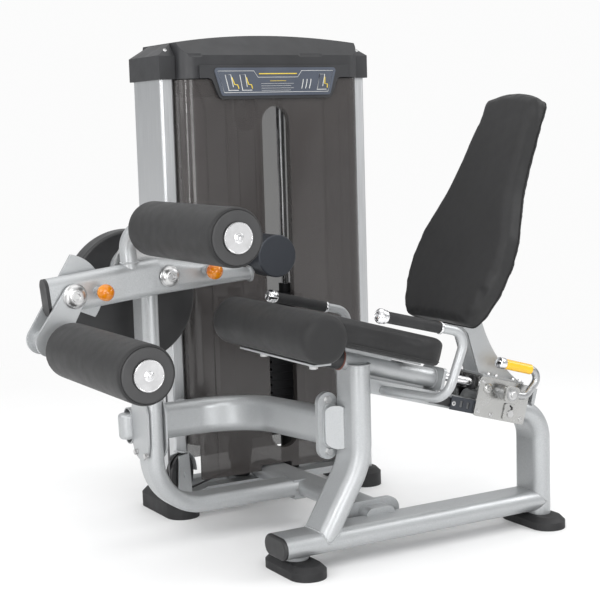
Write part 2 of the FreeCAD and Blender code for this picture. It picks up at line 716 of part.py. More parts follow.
def cam_wheel():
    wheel = y_rod(PIVOT_X, PIVOT_Z, CAM_Y - 12, CAM_Y + 12, CAM_RADIUS + 6)
    groove = Part.makeTorus(CAM_RADIUS, CABLE_RADIUS + 0.4, V(PIVOT_X, CAM_Y, PIVOT_Z), Y_AXIS)
    mouth = y_ring(PIVOT_X, PIVOT_Z, CAM_Y - 3.4, CAM_Y + 3.4, CAM_RADIUS + 8, CAM_RADIUS)
    wheel = wheel.cut(groove).cut(mouth)
    wheel = wheel.cut(y_rod(PIVOT_X, PIVOT_Z, CAM_Y - 20, CAM_Y + 20, AXLE_RADIUS))
    for i in range(5):
        angle = math.radians(72 * i + 36)
        x = PIVOT_X + 75 * math.cos(angle)
        z = PIVOT_Z + 75 * math.sin(angle)
        wheel = wheel.cut(y_rod(x, z, CAM_Y - 20, CAM_Y + 20, 24))
    return wheel


# ---- lever arm ----
WEIGHT_X = -150.0
WEIGHT_Z = 824.0
WEIGHT_RADIUS = 60.0


ARM_LEFT = V(-807, 335, 755.8)
ARM_PEAK = V(-488, 335, 788)
ARM_TIP = V(-206, 335, 774)


def lever_arm():
    along = (ARM_PEAK - ARM_LEFT).normalize()
    up = along.cross(Y_AXIS) * -1.0
    tube = oval_tube([ARM_LEFT, ARM_PEAK], [], up, LEVER_TUBE_WIDE, LEVER_TUBE_THICK, 4)
    wide_end = oval_wire(ARM_PEAK, up, Y_AXIS, LEVER_TUBE_WIDE, LEVER_TUBE_THICK)
    narrow_end = oval_wire(ARM_TIP, Z_AXIS, Y_AXIS, 34, 30)
    taper = Part.makeLoft([wide_end, narrow_end], True, True)
    sleeves = []
    bores = []
    for x, z, outer, inner in ((PIVOT_X, PIVOT_Z, 32, AXLE_RADIUS + 0.05), (ANKLE_X, ANKLE_Z, 18, 10.05),
                               (FRONT_PIN_X, FRONT_PIN_Z, 12, PIN_RADIUS + 0.05),
                               (REAR_PIN_X, REAR_PIN_Z, 12, PIN_RADIUS + 0.05)):
        sleeves.append(y_rod(x, z, ARM_NEAR, ARM_FAR, outer))
        bores.append(y_rod(x, z, ARM_NEAR - 40, ARM_FAR + 10, inner))
    for x, z in ((FRONT_PIN_X, FRONT_PIN_Z), (REAR_PIN_X, REAR_PIN_Z)):
        sleeves.append(y_rod(x, z, ARM_NEAR - 14, ARM_NEAR, 13))
    post = round_bar([V(-570, 335, 815), V(-578, 335, 930), V(UPPER_ROLL_X, PAD_FAR + 16, UPPER_ROLL_Z)],
                     [62], 23)
    axle = y_rod(UPPER_ROLL_X, UPPER_ROLL_Z, PAD_NEAR - 2, PAD_FAR + 20, 12)
    plate = rod(ARM_TIP, ARM_TIP + V(6, 0, 0), 23)
    stub = rod(ARM_TIP, V(WEIGHT_X, 335, WEIGHT_Z), 11)
    arm = join([tube, taper, plate, stub] + sleeves + [post, axle])
    arm = arm.cut(y_rod(WEIGHT_X, WEIGHT_Z, 262, 350, WEIGHT_RADIUS))
    for bore in bores:
        arm = arm.cut(bore)
    return arm


def lever_end_cap():
    along = (ARM_PEAK - ARM_LEFT).normalize()
    up = along.cross(Y_AXIS) * -1.0
    cap = oval_prism(ARM_LEFT, up, Y_AXIS, LEVER_TUBE_WIDE, LEVER_TUBE_THICK, along * -9)
    plug = oval_prism(ARM_LEFT, up, Y_AXIS, LEVER_TUBE_WIDE - 8, LEVER_TUBE_THICK - 8, along * 18)
    return join([cap, plug])


def counterweight():
    body = y_rod(WEIGHT_X, WEIGHT_Z, 262, 345, WEIGHT_RADIUS)
    rims = [e for e in body.Edges if len(e.Vertexes) == 1]
    return body.makeFillet(4, rims)


def pull_pin(x, z):
    """A spring-loaded pin with a ball knob; its tip stands in the slotted plate behind the arm."""
    shaft = y_rod(x, z, 280, ARM_FAR + 14, PIN_RADIUS)
    neck = y_rod(x, z, 272, 284, 8)
    ball = Part.makeSphere(23, V(x, 258, z))
    return join([shaft, neck, ball])


def roller_pad(x, z):
    pad = y_ring(x, z, PAD_NEAR, PAD_FAR, PAD_RADIUS, 24)
    rims = [e for e in pad.Edges if len(e.Vertexes) == 1 and e.Curve.Radius > 60]
    return pad.makeFillet(8, rims)


def roller_core(x, z):
    """The tube inside a roller pad, with the disc and bolt on its near end."""
    tube = y_ring(x, z, PAD_NEAR, PAD_FAR, 24, 12.1)
    disc = y_rod(x, z, PAD_NEAR - 8, PAD_NEAR - 3, 38)
    cover = y_ring(x, z, PAD_NEAR - 3, PAD_NEAR, 38, 12.1)
    head = y_rod(x, z, PAD_NEAR - 15, PAD_NEAR - 8, 9)
    return join([tube, cover, disc, head])


LOBE_X = -818.0
LOBE_Z = 642.0
FAN_RADIUS = 107.0


def slanted_link(x0, z0, r0, x1, z1, r1, y0, y1):
    """A plate outline around two circles, with straight tangent sides."""
    span = math.hypot(x1 - x0, z1 - z0)
    base = math.atan2(z1 - z0, x1 - x0)
    lean = math.acos((r0 - r1) / span)
    corners = []
    for x, z, r, sign in ((x0, z0, r0, 1), (x1, z1, r1, 1), (x1, z1, r1, -1), (x0, z0, r0, -1)):
        angle = base + sign * lean
        corners.append(V(x + r * math.cos(angle), y0, z + r * math.sin(angle)))
    web = prism(corners, V(0, y1 - y0, 0))
    return join([web, y_rod(x0, z0, y0, y1, r0), y_rod(x1, z1, y0, y1, r1)])


def ankle_bracket():
    """Two plates that swing on the arm's front bolt and carry the ankle roller."""
    near = slanted_link(ANKLE_X, ANKLE_Z, 32, LOBE_X, LOBE_Z, 40, 295, 303)
    far = slanted_link(ANKLE_X, ANKLE_Z, 40, LOBE_X, LOBE_Z, 40, 366, 374)
    fan = y_rod(ANKLE_X, ANKLE_Z, 366, 374, FAN_RADIUS)
    lean = V(ANKLE_X - LOBE_X, 0, ANKLE_Z - LOBE_Z).normalize()
    edge = V(ANKLE_X, 360, ANKLE_Z) + V(-lean.z, 0, lean.x) * 40
    wedge = prism([edge, edge + lean * 200, V(ANKLE_X + 200, 360, ANKLE_Z + 200),
                   V(ANKLE_X + 200, 360, ANKLE_Z - 120), V(ANKLE_X + 10, 360, ANKLE_Z - 38)], V(0, 20, 0))
    fan = fan.common(wedge)
    fan = fan.cut(adjuster_slot(ANKLE_X, ANKLE_Z, FRONT_PIN_X, FRONT_PIN_Z, 360, 380, 12.0, 2))
    sleeve = y_rod(LOBE_X, LOBE_Z, 300, 370, 26)
    bolt_shaft = y_rod(ANKLE_X, ANKLE_Z, 290, 376, 10)
    dome = y_rod(ANKLE_X, ANKLE_Z, 282, 295, 29)
    rim = [e for e in dome.Edges if len(e.Vertexes) == 1 and e.BoundBox.YMax < 284]
    dome = dome.makeFillet(10, rim)
    axle = y_rod(ANKLE_ROLL_X, ANKLE_ROLL_Z, PAD_NEAR - 2, 297, 12)
    collar = y_rod(ANKLE_ROLL_X, ANKLE_ROLL_Z, PAD_FAR + 2, 297, 22)
    return join([near, far, fan, sleeve, bolt_shaft, dome, axle, collar])


# ---- weight tower ----
def column_solid(x0):
    outer = box(x0, x0 + COLUMN_WIDTH, TOWER_FRONT, TOWER_BACK, COLUMN_BOTTOM, COLUMN_TOP)
    upright = [e for e in outer.Edges if e.BoundBox.ZLength > 100]
    return outer.makeFillet(9, upright)


def column(x0):
    outer = column_solid(x0)
    inner = box(x0 + 4, x0 + COLUMN_WIDTH - 4, TOWER_FRONT + 4, TOWER_BACK - 4, COLUMN_BOTTOM - 1,
                COLUMN_TOP + 1)
    return outer.cut(inner)


def tower_columns():
    return [column(TOWER_LEFT), column(TOWER_RIGHT - COLUMN_WIDTH)]


INNER_LEFT = TOWER_LEFT + COLUMN_WIDTH
INNER_RIGHT = TOWER_RIGHT - COLUMN_WIDTH
BEAM_LOW = 58.0
BEAM_HIGH = 80.0
TOP_BEAM_Z = 1325.0


def tower_base_frame():
    front = box(INNER_LEFT, INNER_RIGHT, 680, 730, BEAM_LOW, BEAM_HIGH)
    back = box(INNER_LEFT, INNER_RIGHT, 800, 850, BEAM_LOW, BEAM_HIGH)
    ties = []
    for x in (TOWER_MIDDLE - GUIDE_SPACING / 2, TOWER_MIDDLE + GUIDE_SPACING / 2):
        ties.append(box(x - 25, x + 25, 730, 800, BEAM_LOW, BEAM_HIGH))
    return join([front, back] + ties)


def tower_top_beam():
    """A folded channel between the columns; the top pulley hangs from it."""
    top = box(INNER_LEFT, INNER_RIGHT, 715, 840, TOP_BEAM_Z, TOP_BEAM_Z + 6)
    flanges = []
    for y in (715, 834):
        flange = box(INNER_LEFT, INNER_RIGHT, y, y + 6, TOP_BEAM_Z - 40, TOP_BEAM_Z)
        flanges.append(flange.cut(box(TOWER_MIDDLE - 40, TOWER_MIDDLE + 40, y - 5, y + 15, 1200, TOP_BEAM_Z)))
    hangers = [box(TOWER_MIDDLE + dx - 3, TOWER_MIDDLE + dx + 3, 780, 834, TOP_PULLEY_Z - 22, TOP_BEAM_Z)
               for dx in (-20, 20)]
    pin = rod(V(TOWER_MIDDLE - 23, TOP_PULLEY_Y, TOP_PULLEY_Z),
              V(TOWER_MIDDLE + 23, TOP_PULLEY_Y, TOP_PULLEY_Z), 8)
    return join([top] + flanges + hangers + [pin])


CAP_LOW = 1335.0
CAP_SHOULDER = 1404.0    # where the head's upright faces turn into slopes


def column_caps():
    """Plastic caps over the columns, sloped outwards, to the front and to the rear."""
    caps = []
    for x0, x1, inner in ((TOWER_LEFT - 6, INNER_LEFT, 1), (INNER_RIGHT, TOWER_RIGHT + 6, -1)):
        outer_x, inner_x = (x0, x1) if inner > 0 else (x1, x0)
        outline = [V(outer_x, 658, CAP_LOW), V(inner_x, 658, CAP_LOW), V(inner_x, 658, 1443),
                   V(outer_x, 658, CAP_SHOULDER + 2)]
        cap = prism(outline, V(0, 224, 0))
        for y, away in ((658, -1), (882, 1)):
            wedge = prism([V(x0 - 5, y + away * 5, CAP_SHOULDER - 5), V(x0 - 5, y + away * 5, 1460),
                           V(x0 - 5, y - away * 51, 1460)], V(x1 - x0 + 10, 0, 0))
            cap = cap.cut(wedge)
        well_x = TOWER_LEFT if inner > 0 else INNER_RIGHT
        well = box(well_x, well_x + COLUMN_WIDTH, TOWER_FRONT, TOWER_BACK, 1330, COLUMN_TOP)
        caps.append(cap.cut(well))
    return caps


def arch_face(y, x0, x1, low, side, crown):
    top = Part.Arc(V(x1, y, side), V((x0 + x1) / 2, y, crown), V(x0, y, side))
    edges = [Part.makeLine(V(x0, y, low), V(x1, y, low)), Part.makeLine(V(x1, y, low), V(x1, y, side)),
             top.toShape(), Part.makeLine(V(x0, y, side), V(x0, y, low))]
    return Part.Face(Part.Wire(edges))


CROWN_FRONT = 612.0
CROWN_BACK = 928.0
CROWN_WALL = 6.0


def crown_solid(inset, low):
    """The head between the column caps: bulged in plan, arched on top, sloped front and rear."""
    front = CROWN_FRONT + inset
    back = CROWN_BACK - inset
    arch = arch_face(front, INNER_LEFT + inset, INNER_RIGHT - inset, low, 1444 - inset, 1466 - inset)
    body = arch.extrude(V(0, back - front, 0))
    plan = box(INNER_LEFT, INNER_RIGHT, 699, 841, low, 1470)
    plan = plan.fuse(bulged_solid(700, CROWN_FRONT, low, 1470, inset))
    plan = plan.fuse(bulged_solid(840, CROWN_BACK, low, 1470, inset))
    body = body.common(plan)
    shoulder = CAP_SHOULDER - inset * 0.414
    for y, away in ((front, -1), (back, 1)):
        wedge = prism([V(INNER_LEFT - 5, y + away * 10, shoulder - 10), V(INNER_LEFT - 5, y + away * 10, 1480),
                       V(INNER_LEFT - 5, y - away * 76, shoulder + 76)], V(INNER_RIGHT - INNER_LEFT + 10, 0, 0))
        body = body.cut(wedge)
    return body


def finger_scoop(x):
    """A shallow hollow on the shoulder line."""
    y = CROWN_FRONT - 10
    z = CAP_SHOULDER + 5
    bar = rod(V(x - 34, y, z), V(x + 34, y, z), 15)
    return join([bar, Part.makeSphere(15, V(x - 34, y, z)), Part.makeSphere(15, V(x + 34, y, z))])


TRAY_FRONT = 604.0


def crown_fascia():
    """The moulded head, with the tray for the placard hanging over the shroud."""
    shell = crown_solid(0, CAP_LOW).cut(crown_solid(CROWN_WALL, CAP_LOW - 20))
    for x in (TOWER_MIDDLE - 286, TOWER_MIDDLE + 128):
        shell = shell.cut(finger_scoop(x))
    points = [V(-205, TRAY_FRONT, 1374), V(-205, TRAY_FRONT, 1336), V(-166, TRAY_FRONT, 1336),
              V(-140, TRAY_FRONT, 1273), V(248, TRAY_FRONT, 1273), V(276, TRAY_FRONT, 1336),
              V(313, TRAY_FRONT, 1336), V(313, TRAY_FRONT, 1374)]
    tray = prism(points, V(0, 10, 0))
    lower = [e for e in tray.Edges if abs(e.Length - 10) < 0.1 and e.BoundBox.ZMin < 1340
             and -200 < e.BoundBox.XMin < 300]
    tray = tray.makeFillet(17, lower)
    slope = prism([V(-300, 595, 1366), V(-300, 612, 1380), V(-300, 595, 1380)], V(700, 0, 0))
    return join([shell, tray.cut(slope)])


def placard():
    plate = prism([V(-160, 601, 1366), V(268, 601, 1366), V(243, 601, 1282), V(-135, 601, 1282)], V(0, 3, 0))
    corners = [e for e in plate.Edges if abs(e.Length - 3) < 0.05]
    return plate.makeFillet(10, corners)


def bulged_solid(front_y, bulge_y, low, high, inset):
    """A block between the columns that bulges out to one side with rounded corners."""
    side = 1 if bulge_y > front_y else -1
    left = INNER_LEFT + 0.5 + inset
    right = INNER_RIGHT - 0.5 - inset
    deep = bulge_y - side * inset
    r = 42.0 - inset
    q = r * (1 - math.sqrt(0.5))
    turn_a = V(left, deep - side * r, low)
    turn_b = V(left + r, deep, low)
    turn_c = V(right - r, deep, low)
    turn_d = V(right, deep - side * r, low)
    start = V(left, front_y, low)
    end = V(right, front_y, low)
    first = Part.Arc(turn_a, V(left + q, deep - side * q, low), turn_b).toShape()
    second = Part.Arc(turn_c, V(right - q, deep - side * q, low), turn_d).toShape()
    edges = [Part.makeLine(start, turn_a), first, Part.makeLine(turn_b, turn_c), second,
             Part.makeLine(turn_d, end), Part.makeLine(end, start)]
    return Part.Face(Part.Wire(edges)).extrude(V(0, 0, high - low))


def bulged_panel(front_y, bulge_y, low, high, thick):
    """A sheet panel between the columns that bulges out with rounded corners."""
    outer = bulged_solid(front_y, bulge_y, low, high, 0)
    return outer.cut(bulged_solid(front_y, bulge_y, low, high, thick))


SLOT_LOW = 182.0
SLOT_HIGH = 1250.0


def slot_prism(grow, y0, y1):
    middle = V(TOWER_MIDDLE, y0, (SLOT_LOW + SLOT_HIGH) / 2.0)
    return oval_prism(middle, Z_AXIS, X_AXIS, SLOT_HIGH - SLOT_LOW + 2 * grow, 2 * (SLOT_HALF + grow),
                      V(0, y1 - y0, 0))


def front_shroud():
    """The smoked front panel: a raised middle field and an inward rim around the slot."""
    face = TOWER_FRONT - SHROUD_BULGE
    panel = bulged_panel(TOWER_FRONT + 24, face, SHROUD_BOTTOM, SHROUD_TOP, 4)
    field = prism([V(-182, face - 3, SHROUD_BOTTOM), V(281, face - 3, SHROUD_BOTTOM), V(281, face - 3, 1240),
                   V(300, face - 3, SHROUD_TOP), V(-215, face - 3, SHROUD_TOP), V(-182, face - 3, 1240)],
                  V(0, 3.5, 0))
    panel = join([panel, field, slot_prism(4, face, face + 22)])
    panel = panel.cut(slot_prism(0, 600, 660))
    panel = panel.cut(box(CROSS_X - 55, CROSS_X + 55, 600, 700, 100, CROSS_Z + 30))
    return panel.cut(box(-300, -238, 600, 700, 100, 226))


def rear_shroud():
    return bulged_panel(TOWER_BACK - 24, TOWER_BACK + SHROUD_BULGE, SHROUD_BOTTOM, SHROUD_TOP, 4)


def guide_rods():
    return [rod(V(x, STACK_Y, BEAM_HIGH), V(x, STACK_Y, TOP_BEAM_Z), 12.5)
            for x in (TOWER_MIDDLE - GUIDE_SPACING / 2, TOWER_MIDDLE + GUIDE_SPACING / 2)]


def rod_bumpers():
    return [ring(V(x, STACK_Y, BEAM_HIGH), V(x, STACK_Y, STACK_BOTTOM), 29, 12.5)
            for x in (TOWER_MIDDLE - GUIDE_SPACING / 2, TOWER_MIDDLE + GUIDE_SPACING / 2)]


PLATE_HALF_X = 125.0
PLATE_HALF_Y = 55.0
STEM_RADIUS = 12.5


def one_plate(z):
    plate = box(TOWER_MIDDLE - PLATE_HALF_X, TOWER_MIDDLE + PLATE_HALF_X, STACK_Y - PLATE_HALF_Y,
                STACK_Y + PLATE_HALF_Y, z, z + PLATE_PITCH - 0.6)
    for x in (TOWER_MIDDLE - GUIDE_SPACING / 2, TOWER_MIDDLE + GUIDE_SPACING / 2):
        plate = plate.cut(rod(V(x, STACK_Y, z - 5), V(x, STACK_Y, z + 40), 13.5))
    plate = plate.cut(rod(V(TOWER_MIDDLE, STACK_Y, z - 5), V(TOWER_MIDDLE, STACK_Y, z + 40), STEM_RADIUS + 0.6))
    hole_z = z + PLATE_PITCH / 2.0
    return plate.cut(rod(V(TOWER_MIDDLE, 690, hole_z), V(TOWER_MIDDLE, STACK_Y, hole_z), 5.2))


def weight_plates():
    return [one_plate(STACK_BOTTOM + PLATE_PITCH * i) for i in range(PLATE_COUNT)]


TOP_PLATE_Z = STACK_BOTTOM + PLATE_PITCH * PLATE_COUNT
STEM_TOP = TOP_PLATE_Z + 60


def top_weight():
    plate = one_plate(TOP_PLATE_Z)
    guides = []
    for x in (TOWER_MIDDLE - GUIDE_SPACING / 2, TOWER_MIDDLE + GUIDE_SPACING / 2):
        z = TOP_PLATE_Z + PLATE_PITCH - 0.6
        guides.append(ring(V(x, STACK_Y, z), V(x, STACK_Y, z + 30), 20, 12.6))
    return join([plate] + guides)


def selector_stem():
    stem = rod(V(TOWER_MIDDLE, STACK_Y, STACK_BOTTOM + 10), V(TOWER_MIDDLE, STACK_Y, STEM_TOP), STEM_RADIUS)
    collar = rod(V(TOWER_MIDDLE, STACK_Y, TOP_PLATE_Z + PLATE_PITCH - 0.6),
                 V(TOWER_MIDDLE, STACK_Y, TOP_PLATE_Z + PLATE_PITCH + 11), 24)
    bore = rod(V(TOWER_MIDDLE, STACK_Y, STACK_BOTTOM + 30), V(TOWER_MIDDLE, STACK_Y, STEM_TOP + 5), 4.5)
    stem = join([stem, collar]).cut(bore)
    for i in range(PLATE_COUNT + 1):
        z = STACK_BOTTOM + PLATE_PITCH * (i + 0.5)
        stem = stem.cut(rod(V(TOWER_MIDDLE, 730, z), V(TOWER_MIDDLE, STACK_Y, z), 5.2))
    return stem


def selector_pin():
    z = TOP_PLATE_Z + PLATE_PITCH / 2.0
    shaft = rod(V(TOWER_MIDDLE, 676, z), V(TOWER_MIDDLE, STACK_Y - 6, z), 4.9)
    knob = rod(V(TOWER_MIDDLE, 650, z), V(TOWER_MIDDLE, 678, z), 15)
    rims = [e for e in knob.Edges if len(e.Vertexes) == 1]
    return join([shaft, knob.makeFillet(4, rims)])


# ---- cable and pulleys ----
CABLE_DOWN = V(PIVOT_X + CAM_RADIUS, CAM_Y, 0)
CABLE_UP = V(TOWER_MIDDLE, STACK_Y + 2 * PULLEY_RADIUS, 0)
CABLE_DIR = (CABLE_UP - CABLE_DOWN).normalize()
LOW_AXIS = CABLE_DIR.cross(Z_AXIS).normalize()
LOW_CENTRE = CABLE_DOWN + CABLE_DIR * PULLEY_RADIUS + V(0, 0, LOW_CABLE_Z + PULLEY_RADIUS)
STACK_PULLEY_CENTRE = CABLE_UP - CABLE_DIR * PULLEY_RADIUS + V(0, 0, LOW_CABLE_Z + PULLEY_RADIUS)
TOP_CENTRE = V(TOWER_MIDDLE, TOP_PULLEY_Y, TOP_PULLEY_Z)


def pulley(centre, axis):
    """A grooved wheel that turns on a plain pin."""
    half = axis * 11
    wheel = rod(centre - half, centre + half, PULLEY_RADIUS + 6)
    groove = Part.makeTorus(PULLEY_RADIUS, CABLE_RADIUS + 0.4, centre, axis)
    mouth = ring(centre - axis * 3.4, centre + axis * 3.4, PULLEY_RADIUS + 8, PULLEY_RADIUS)
    wheel = wheel.cut(groove).cut(mouth)
    return wheel.cut(rod(centre - half * 2, centre + half * 2, 8.05))


def pulley_bracket(centre, axis, reach_low, reach_high, half_width):
    """Two cheeks and a pin around a pulley."""
    parts = []
    along = Z_AXIS.cross(axis).normalize()
    for side in (-1, 1):
        near = centre + axis * (side * 14)
        outer = axis * (side * 5)
        points = [near - along * half_width + V(0, 0, reach_low),
                  near + along * half_width + V(0, 0, reach_low),
                  near + along * (half_width * 0.7) + V(0, 0, reach_high),
                  near - along * (half_width * 0.7) + V(0, 0, reach_high)]
        parts.append(prism(points, outer))
    parts.append(rod(centre - axis * 22, centre + axis * 22, 8))
    return parts


def low_pulley_bracket():
    """Cheeks for the two lower pulleys, on a plate that ties them to the tower base."""
    parts = pulley_bracket(LOW_CENTRE, LOW_AXIS, -70, 62, 40)
    along = Z_AXIS.cross(LOW_AXIS).normalize()
    corner = V(LOW_CENTRE.x, LOW_CENTRE.y, BEAM_HIGH - 6)
    points = [corner - along * 50 + LOW_AXIS * 22, corner + along * 150 + LOW_AXIS * 22,
              corner + along * 150 - LOW_AXIS * 22, corner - along * 50 - LOW_AXIS * 22]
    base = prism(points, V(0, 0, 6))
    guard = ring(LOW_CENTRE - LOW_AXIS * 19, LOW_CENTRE + LOW_AXIS * 19, PULLEY_RADIUS + 14, PULLEY_RADIUS + 10)
    side = LOW_CENTRE - LOW_AXIS * 30
    keep = prism([side, side + CABLE_DIR * 90, side + CABLE_DIR * 90 + V(0, 0, 90), side + V(0, 0, 90)],
                 LOW_AXIS * 60)
    beam = box(INNER_LEFT, INNER_RIGHT, 680, 730, BEAM_LOW, BEAM_HIGH)
    whole = join(parts + [base, guard.common(keep)]).cut(beam)
    return whole.cut(column_solid(TOWER_LEFT))


def stack_pulley_bracket():
    drop = LOW_CABLE_Z + PULLEY_RADIUS - BEAM_HIGH
    parts = pulley_bracket(STACK_PULLEY_CENTRE, LOW_AXIS, -drop, 20, 36)
    return [join(parts)]


def cable_arc(start, centre, axis, turn):
    """A quarter or half turn of cable around a pulley."""
    along = axis.cross(start - centre).normalize()
    disc = Part.Face(Part.Wire([Part.makeCircle(CABLE_RADIUS, start, along)]))
    return disc.revolve(centre, axis, turn)


def lift_cable():
    """One steel cable: cam, low pulley, stack pulley, top pulley, stack."""
    r = PULLEY_RADIUS
    cam_side = V(CABLE_DOWN.x, CABLE_DOWN.y, PIVOT_Z)
    low_in = LOW_CENTRE - CABLE_DIR * r
    low_out = LOW_CENTRE - Z_AXIS * r
    stack_in = STACK_PULLEY_CENTRE - Z_AXIS * r
    stack_out = STACK_PULLEY_CENTRE + CABLE_DIR * r
    top_in = V(TOWER_MIDDLE, TOP_PULLEY_Y + r, TOP_PULLEY_Z)
    top_out = V(TOWER_MIDDLE, STACK_Y, TOP_PULLEY_Z)
    end = V(TOWER_MIDDLE, STACK_Y, STEM_TOP - 12)
    runs = [rod(cam_side, low_in, CABLE_RADIUS), rod(low_out, stack_in, CABLE_RADIUS),
            rod(stack_out, top_in, CABLE_RADIUS), rod(top_out, end, CABLE_RADIUS)]
    turns = [cable_arc(low_in, LOW_CENTRE, LOW_AXIS, 90),
             cable_arc(stack_in, STACK_PULLEY_CENTRE, LOW_AXIS, 90),
             cable_arc(top_in, TOP_CENTRE, X_AXIS, 180)]
    return join([runs[0], turns[0], runs[1], turns[1], runs[2], turns[2], runs[3]])


BOLTED = ("base_tube", "cross_tube", "connecting_arm", "front_post", "rear_post", "lever_post",
          "post_clamp_plates", "seat_plate")


def build():
    """Every sub-part by name; a list holds several separate pieces of one kind."""
    parts = {
        "base_tube": base_tube(),
        "tube_end_caps": tube_end_caps(),
        "front_post": front_post(),
        "rear_post": rear_post(),
        "rubber_feet": rubber_feet(),
        "cross_tube": cross_tube(),
        "connecting_arm": connecting_arm(),
        "lever_post": lever_post(),
        "post_clamp_plates": post_clamp_plates(),
        "frame_bolts": frame_bolts(),
        "seat_rail": seat_rail(),
        "rail_channel": rail_channel(),
        "index_plate": index_plate(),
        "seat_plate": seat_plate(),
        "knee_roll": knee_roll(),
        "seat_pad": seat_pad(),
        "handle_tubes": handle_tubes(),
        "handle_grips": handle_grips(),
        "handle_caps": handle_caps(),
        "carriage_box": carriage_box(),
        "carriage_bushes": carriage_bushes(),
        "backrest_bracket": backrest_bracket(),
        "backrest_pad": backrest_pad(),
        "release_lever": release_lever(),
        "release_grip": release_grip(),
        "latch_pin": latch_pin(),
        "hub_housing": hub_housing(),
        "hub_bearings": hub_bearings(),
        "cam_cover": cam_cover(),
        "hub_axle": hub_axle(),
        "cam_wheel": cam_wheel(),
        "lever_arm": lever_arm(),
        "lever_end_cap": lever_end_cap(),
        "counterweight": counterweight(),
        "front_pull_pin": pull_pin(FRONT_PIN_X, FRONT_PIN_Z),
        "rear_pull_pin": pull_pin(REAR_PIN_X, REAR_PIN_Z),
        "upper_roller_pad": roller_pad(UPPER_ROLL_X, UPPER_ROLL_Z),
        "upper_roller_core": roller_core(UPPER_ROLL_X, UPPER_ROLL_Z),
        "ankle_bracket": ankle_bracket(),
        "ankle_roller_pad": roller_pad(ANKLE_ROLL_X, ANKLE_ROLL_Z),
        "ankle_roller_core": roller_core(ANKLE_ROLL_X, ANKLE_ROLL_Z),
        "tower_columns": tower_columns(),
        "tower_base_frame": tower_base_frame(),
        "tower_top_beam": tower_top_beam(),
        "column_caps": column_caps(),
        "crown_fascia": crown_fascia(),
        "placard": placard(),
        "front_shroud": front_shroud(),
        "rear_shroud": rear_shroud(),
        "guide_rods": guide_rods() + slide_rods(),
        "rubber_stops": rod_bumpers() + [rail_stop()],
        "weight_plates": weight_plates(),
        "top_weight": top_weight(),
        "selector_stem": selector_stem(),
        "selector_pin": selector_pin(),
        "pulley_brackets": [low_pulley_bracket()] + stack_pulley_bracket(),
        "low_pulley": pulley(LOW_CENTRE, LOW_AXIS),
        "stack_pulley": pulley(STACK_PULLEY_CENTRE, LOW_AXIS),
        "top_pulley": pulley(TOP_CENTRE, X_AXIS),
        "lift_cable": lift_cable(),
    }
    for name, shape in parts.items():
        if isinstance(shape, list):
            parts[name] = Part.makeCompound(shape)
    for name in BOLTED:
        parts[name] = parts[name].cut(parts["frame_bolts"])
    parts["post_clamp_plates"] = parts["post_clamp_plates"].cut(parts["connecting_arm"])
    return parts


def main():
    os.makedirs("parts", exist_ok=True)
    parts = build()
    limits = FreeCAD.BoundBox()
    for shape in parts.values():
        limits.add(shape.BoundBox)
    shift = V(-limits.Center.x, -limits.Center.y, -limits.ZMin)
    print("shift", round(shift.x, 3), round(shift.y, 3), round(shift.z, 3))
    for name, shape in parts.items():
        shape.translate(shift)
        shape.exportStep("parts/" + name + ".step")


main()
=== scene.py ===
import json
import math
import random
import bmesh
import bpy
from mathutils import Matrix, Vector
from mathutils.bvhtree import BVHTree


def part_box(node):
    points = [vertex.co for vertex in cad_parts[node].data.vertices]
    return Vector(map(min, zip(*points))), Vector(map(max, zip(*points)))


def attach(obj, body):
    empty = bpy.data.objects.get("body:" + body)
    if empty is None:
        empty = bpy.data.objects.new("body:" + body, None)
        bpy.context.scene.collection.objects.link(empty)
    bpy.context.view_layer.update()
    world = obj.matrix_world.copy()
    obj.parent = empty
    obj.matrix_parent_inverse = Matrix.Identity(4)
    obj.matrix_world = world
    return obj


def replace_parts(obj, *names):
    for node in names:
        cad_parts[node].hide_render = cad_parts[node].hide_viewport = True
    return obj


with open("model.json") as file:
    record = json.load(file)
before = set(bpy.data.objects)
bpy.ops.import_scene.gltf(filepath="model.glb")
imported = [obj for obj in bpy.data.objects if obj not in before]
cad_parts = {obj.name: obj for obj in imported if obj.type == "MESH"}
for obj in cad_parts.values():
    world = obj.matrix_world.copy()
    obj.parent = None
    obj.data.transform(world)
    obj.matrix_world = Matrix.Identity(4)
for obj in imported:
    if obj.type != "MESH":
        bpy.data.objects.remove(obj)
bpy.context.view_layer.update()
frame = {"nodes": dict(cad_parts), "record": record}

nodes = frame["nodes"]
MM = 0.001

# ---- where things are, in millimetres ----
# x as in the CAD's own drawing, y from the seat's middle plane, z from the floor;
# the knee roll's box ties these to the frame.
ROLL_X = -290.0            # the knee roll's axis
ROLL_MIDDLE_Y = 25.0       # and the middle of its length
roll_low, roll_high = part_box("knee_roll")
OFFSET_X = (roll_low[0] + roll_high[0]) / 2 / MM - ROLL_X
OFFSET_Y = (roll_low[1] + roll_high[1]) / 2 / MM - ROLL_MIDDLE_Y

PIVOT = (-465, 788)        # x and z of the lever's parts, in the rest position
ANKLE_PIVOT = (-745, 757)
FRONT_PIN = (-673, 764)
REAR_PIN = (-351, 797)
UPPER_ROLLER = (-536, 926)
ANKLE_ROLLER = (-780, 623)
PAD_NEAR = -242.0          # the roller pads' two ends
PAD_FAR = 250.0
ARM_NEAR = 310.0           # near face of the swing lever
POST_TOP = 545.0           # the front post's top, under the seat rail
BASE_TOP = 106.0           # top of the base tube
GRIP_FRONT = (-150, 706)   # x and z of the grips' axis at the front
GRIP_REAR = (100, 641)     # and where the handles turn down
GRIP_SIDE = 284            # distance of both grips from the middle plane
GRIP_END = 168.0           # the grips' rear end, measured from the front
TOWER_MIDDLE = 54.0
CARRIAGE_SIDE = -70.0      # near face of the carriage
LATCH_AT = 516.0           # distance along the rail
RAIL_ORIGIN = (-79, 550)   # x and z where the rail's own measures start
BACK_ORIGIN = (290, 850)   # and the backrest's, on its front face
BEAD_LIFT = 0.5            # how far a weld's middle stands off the face it lies on

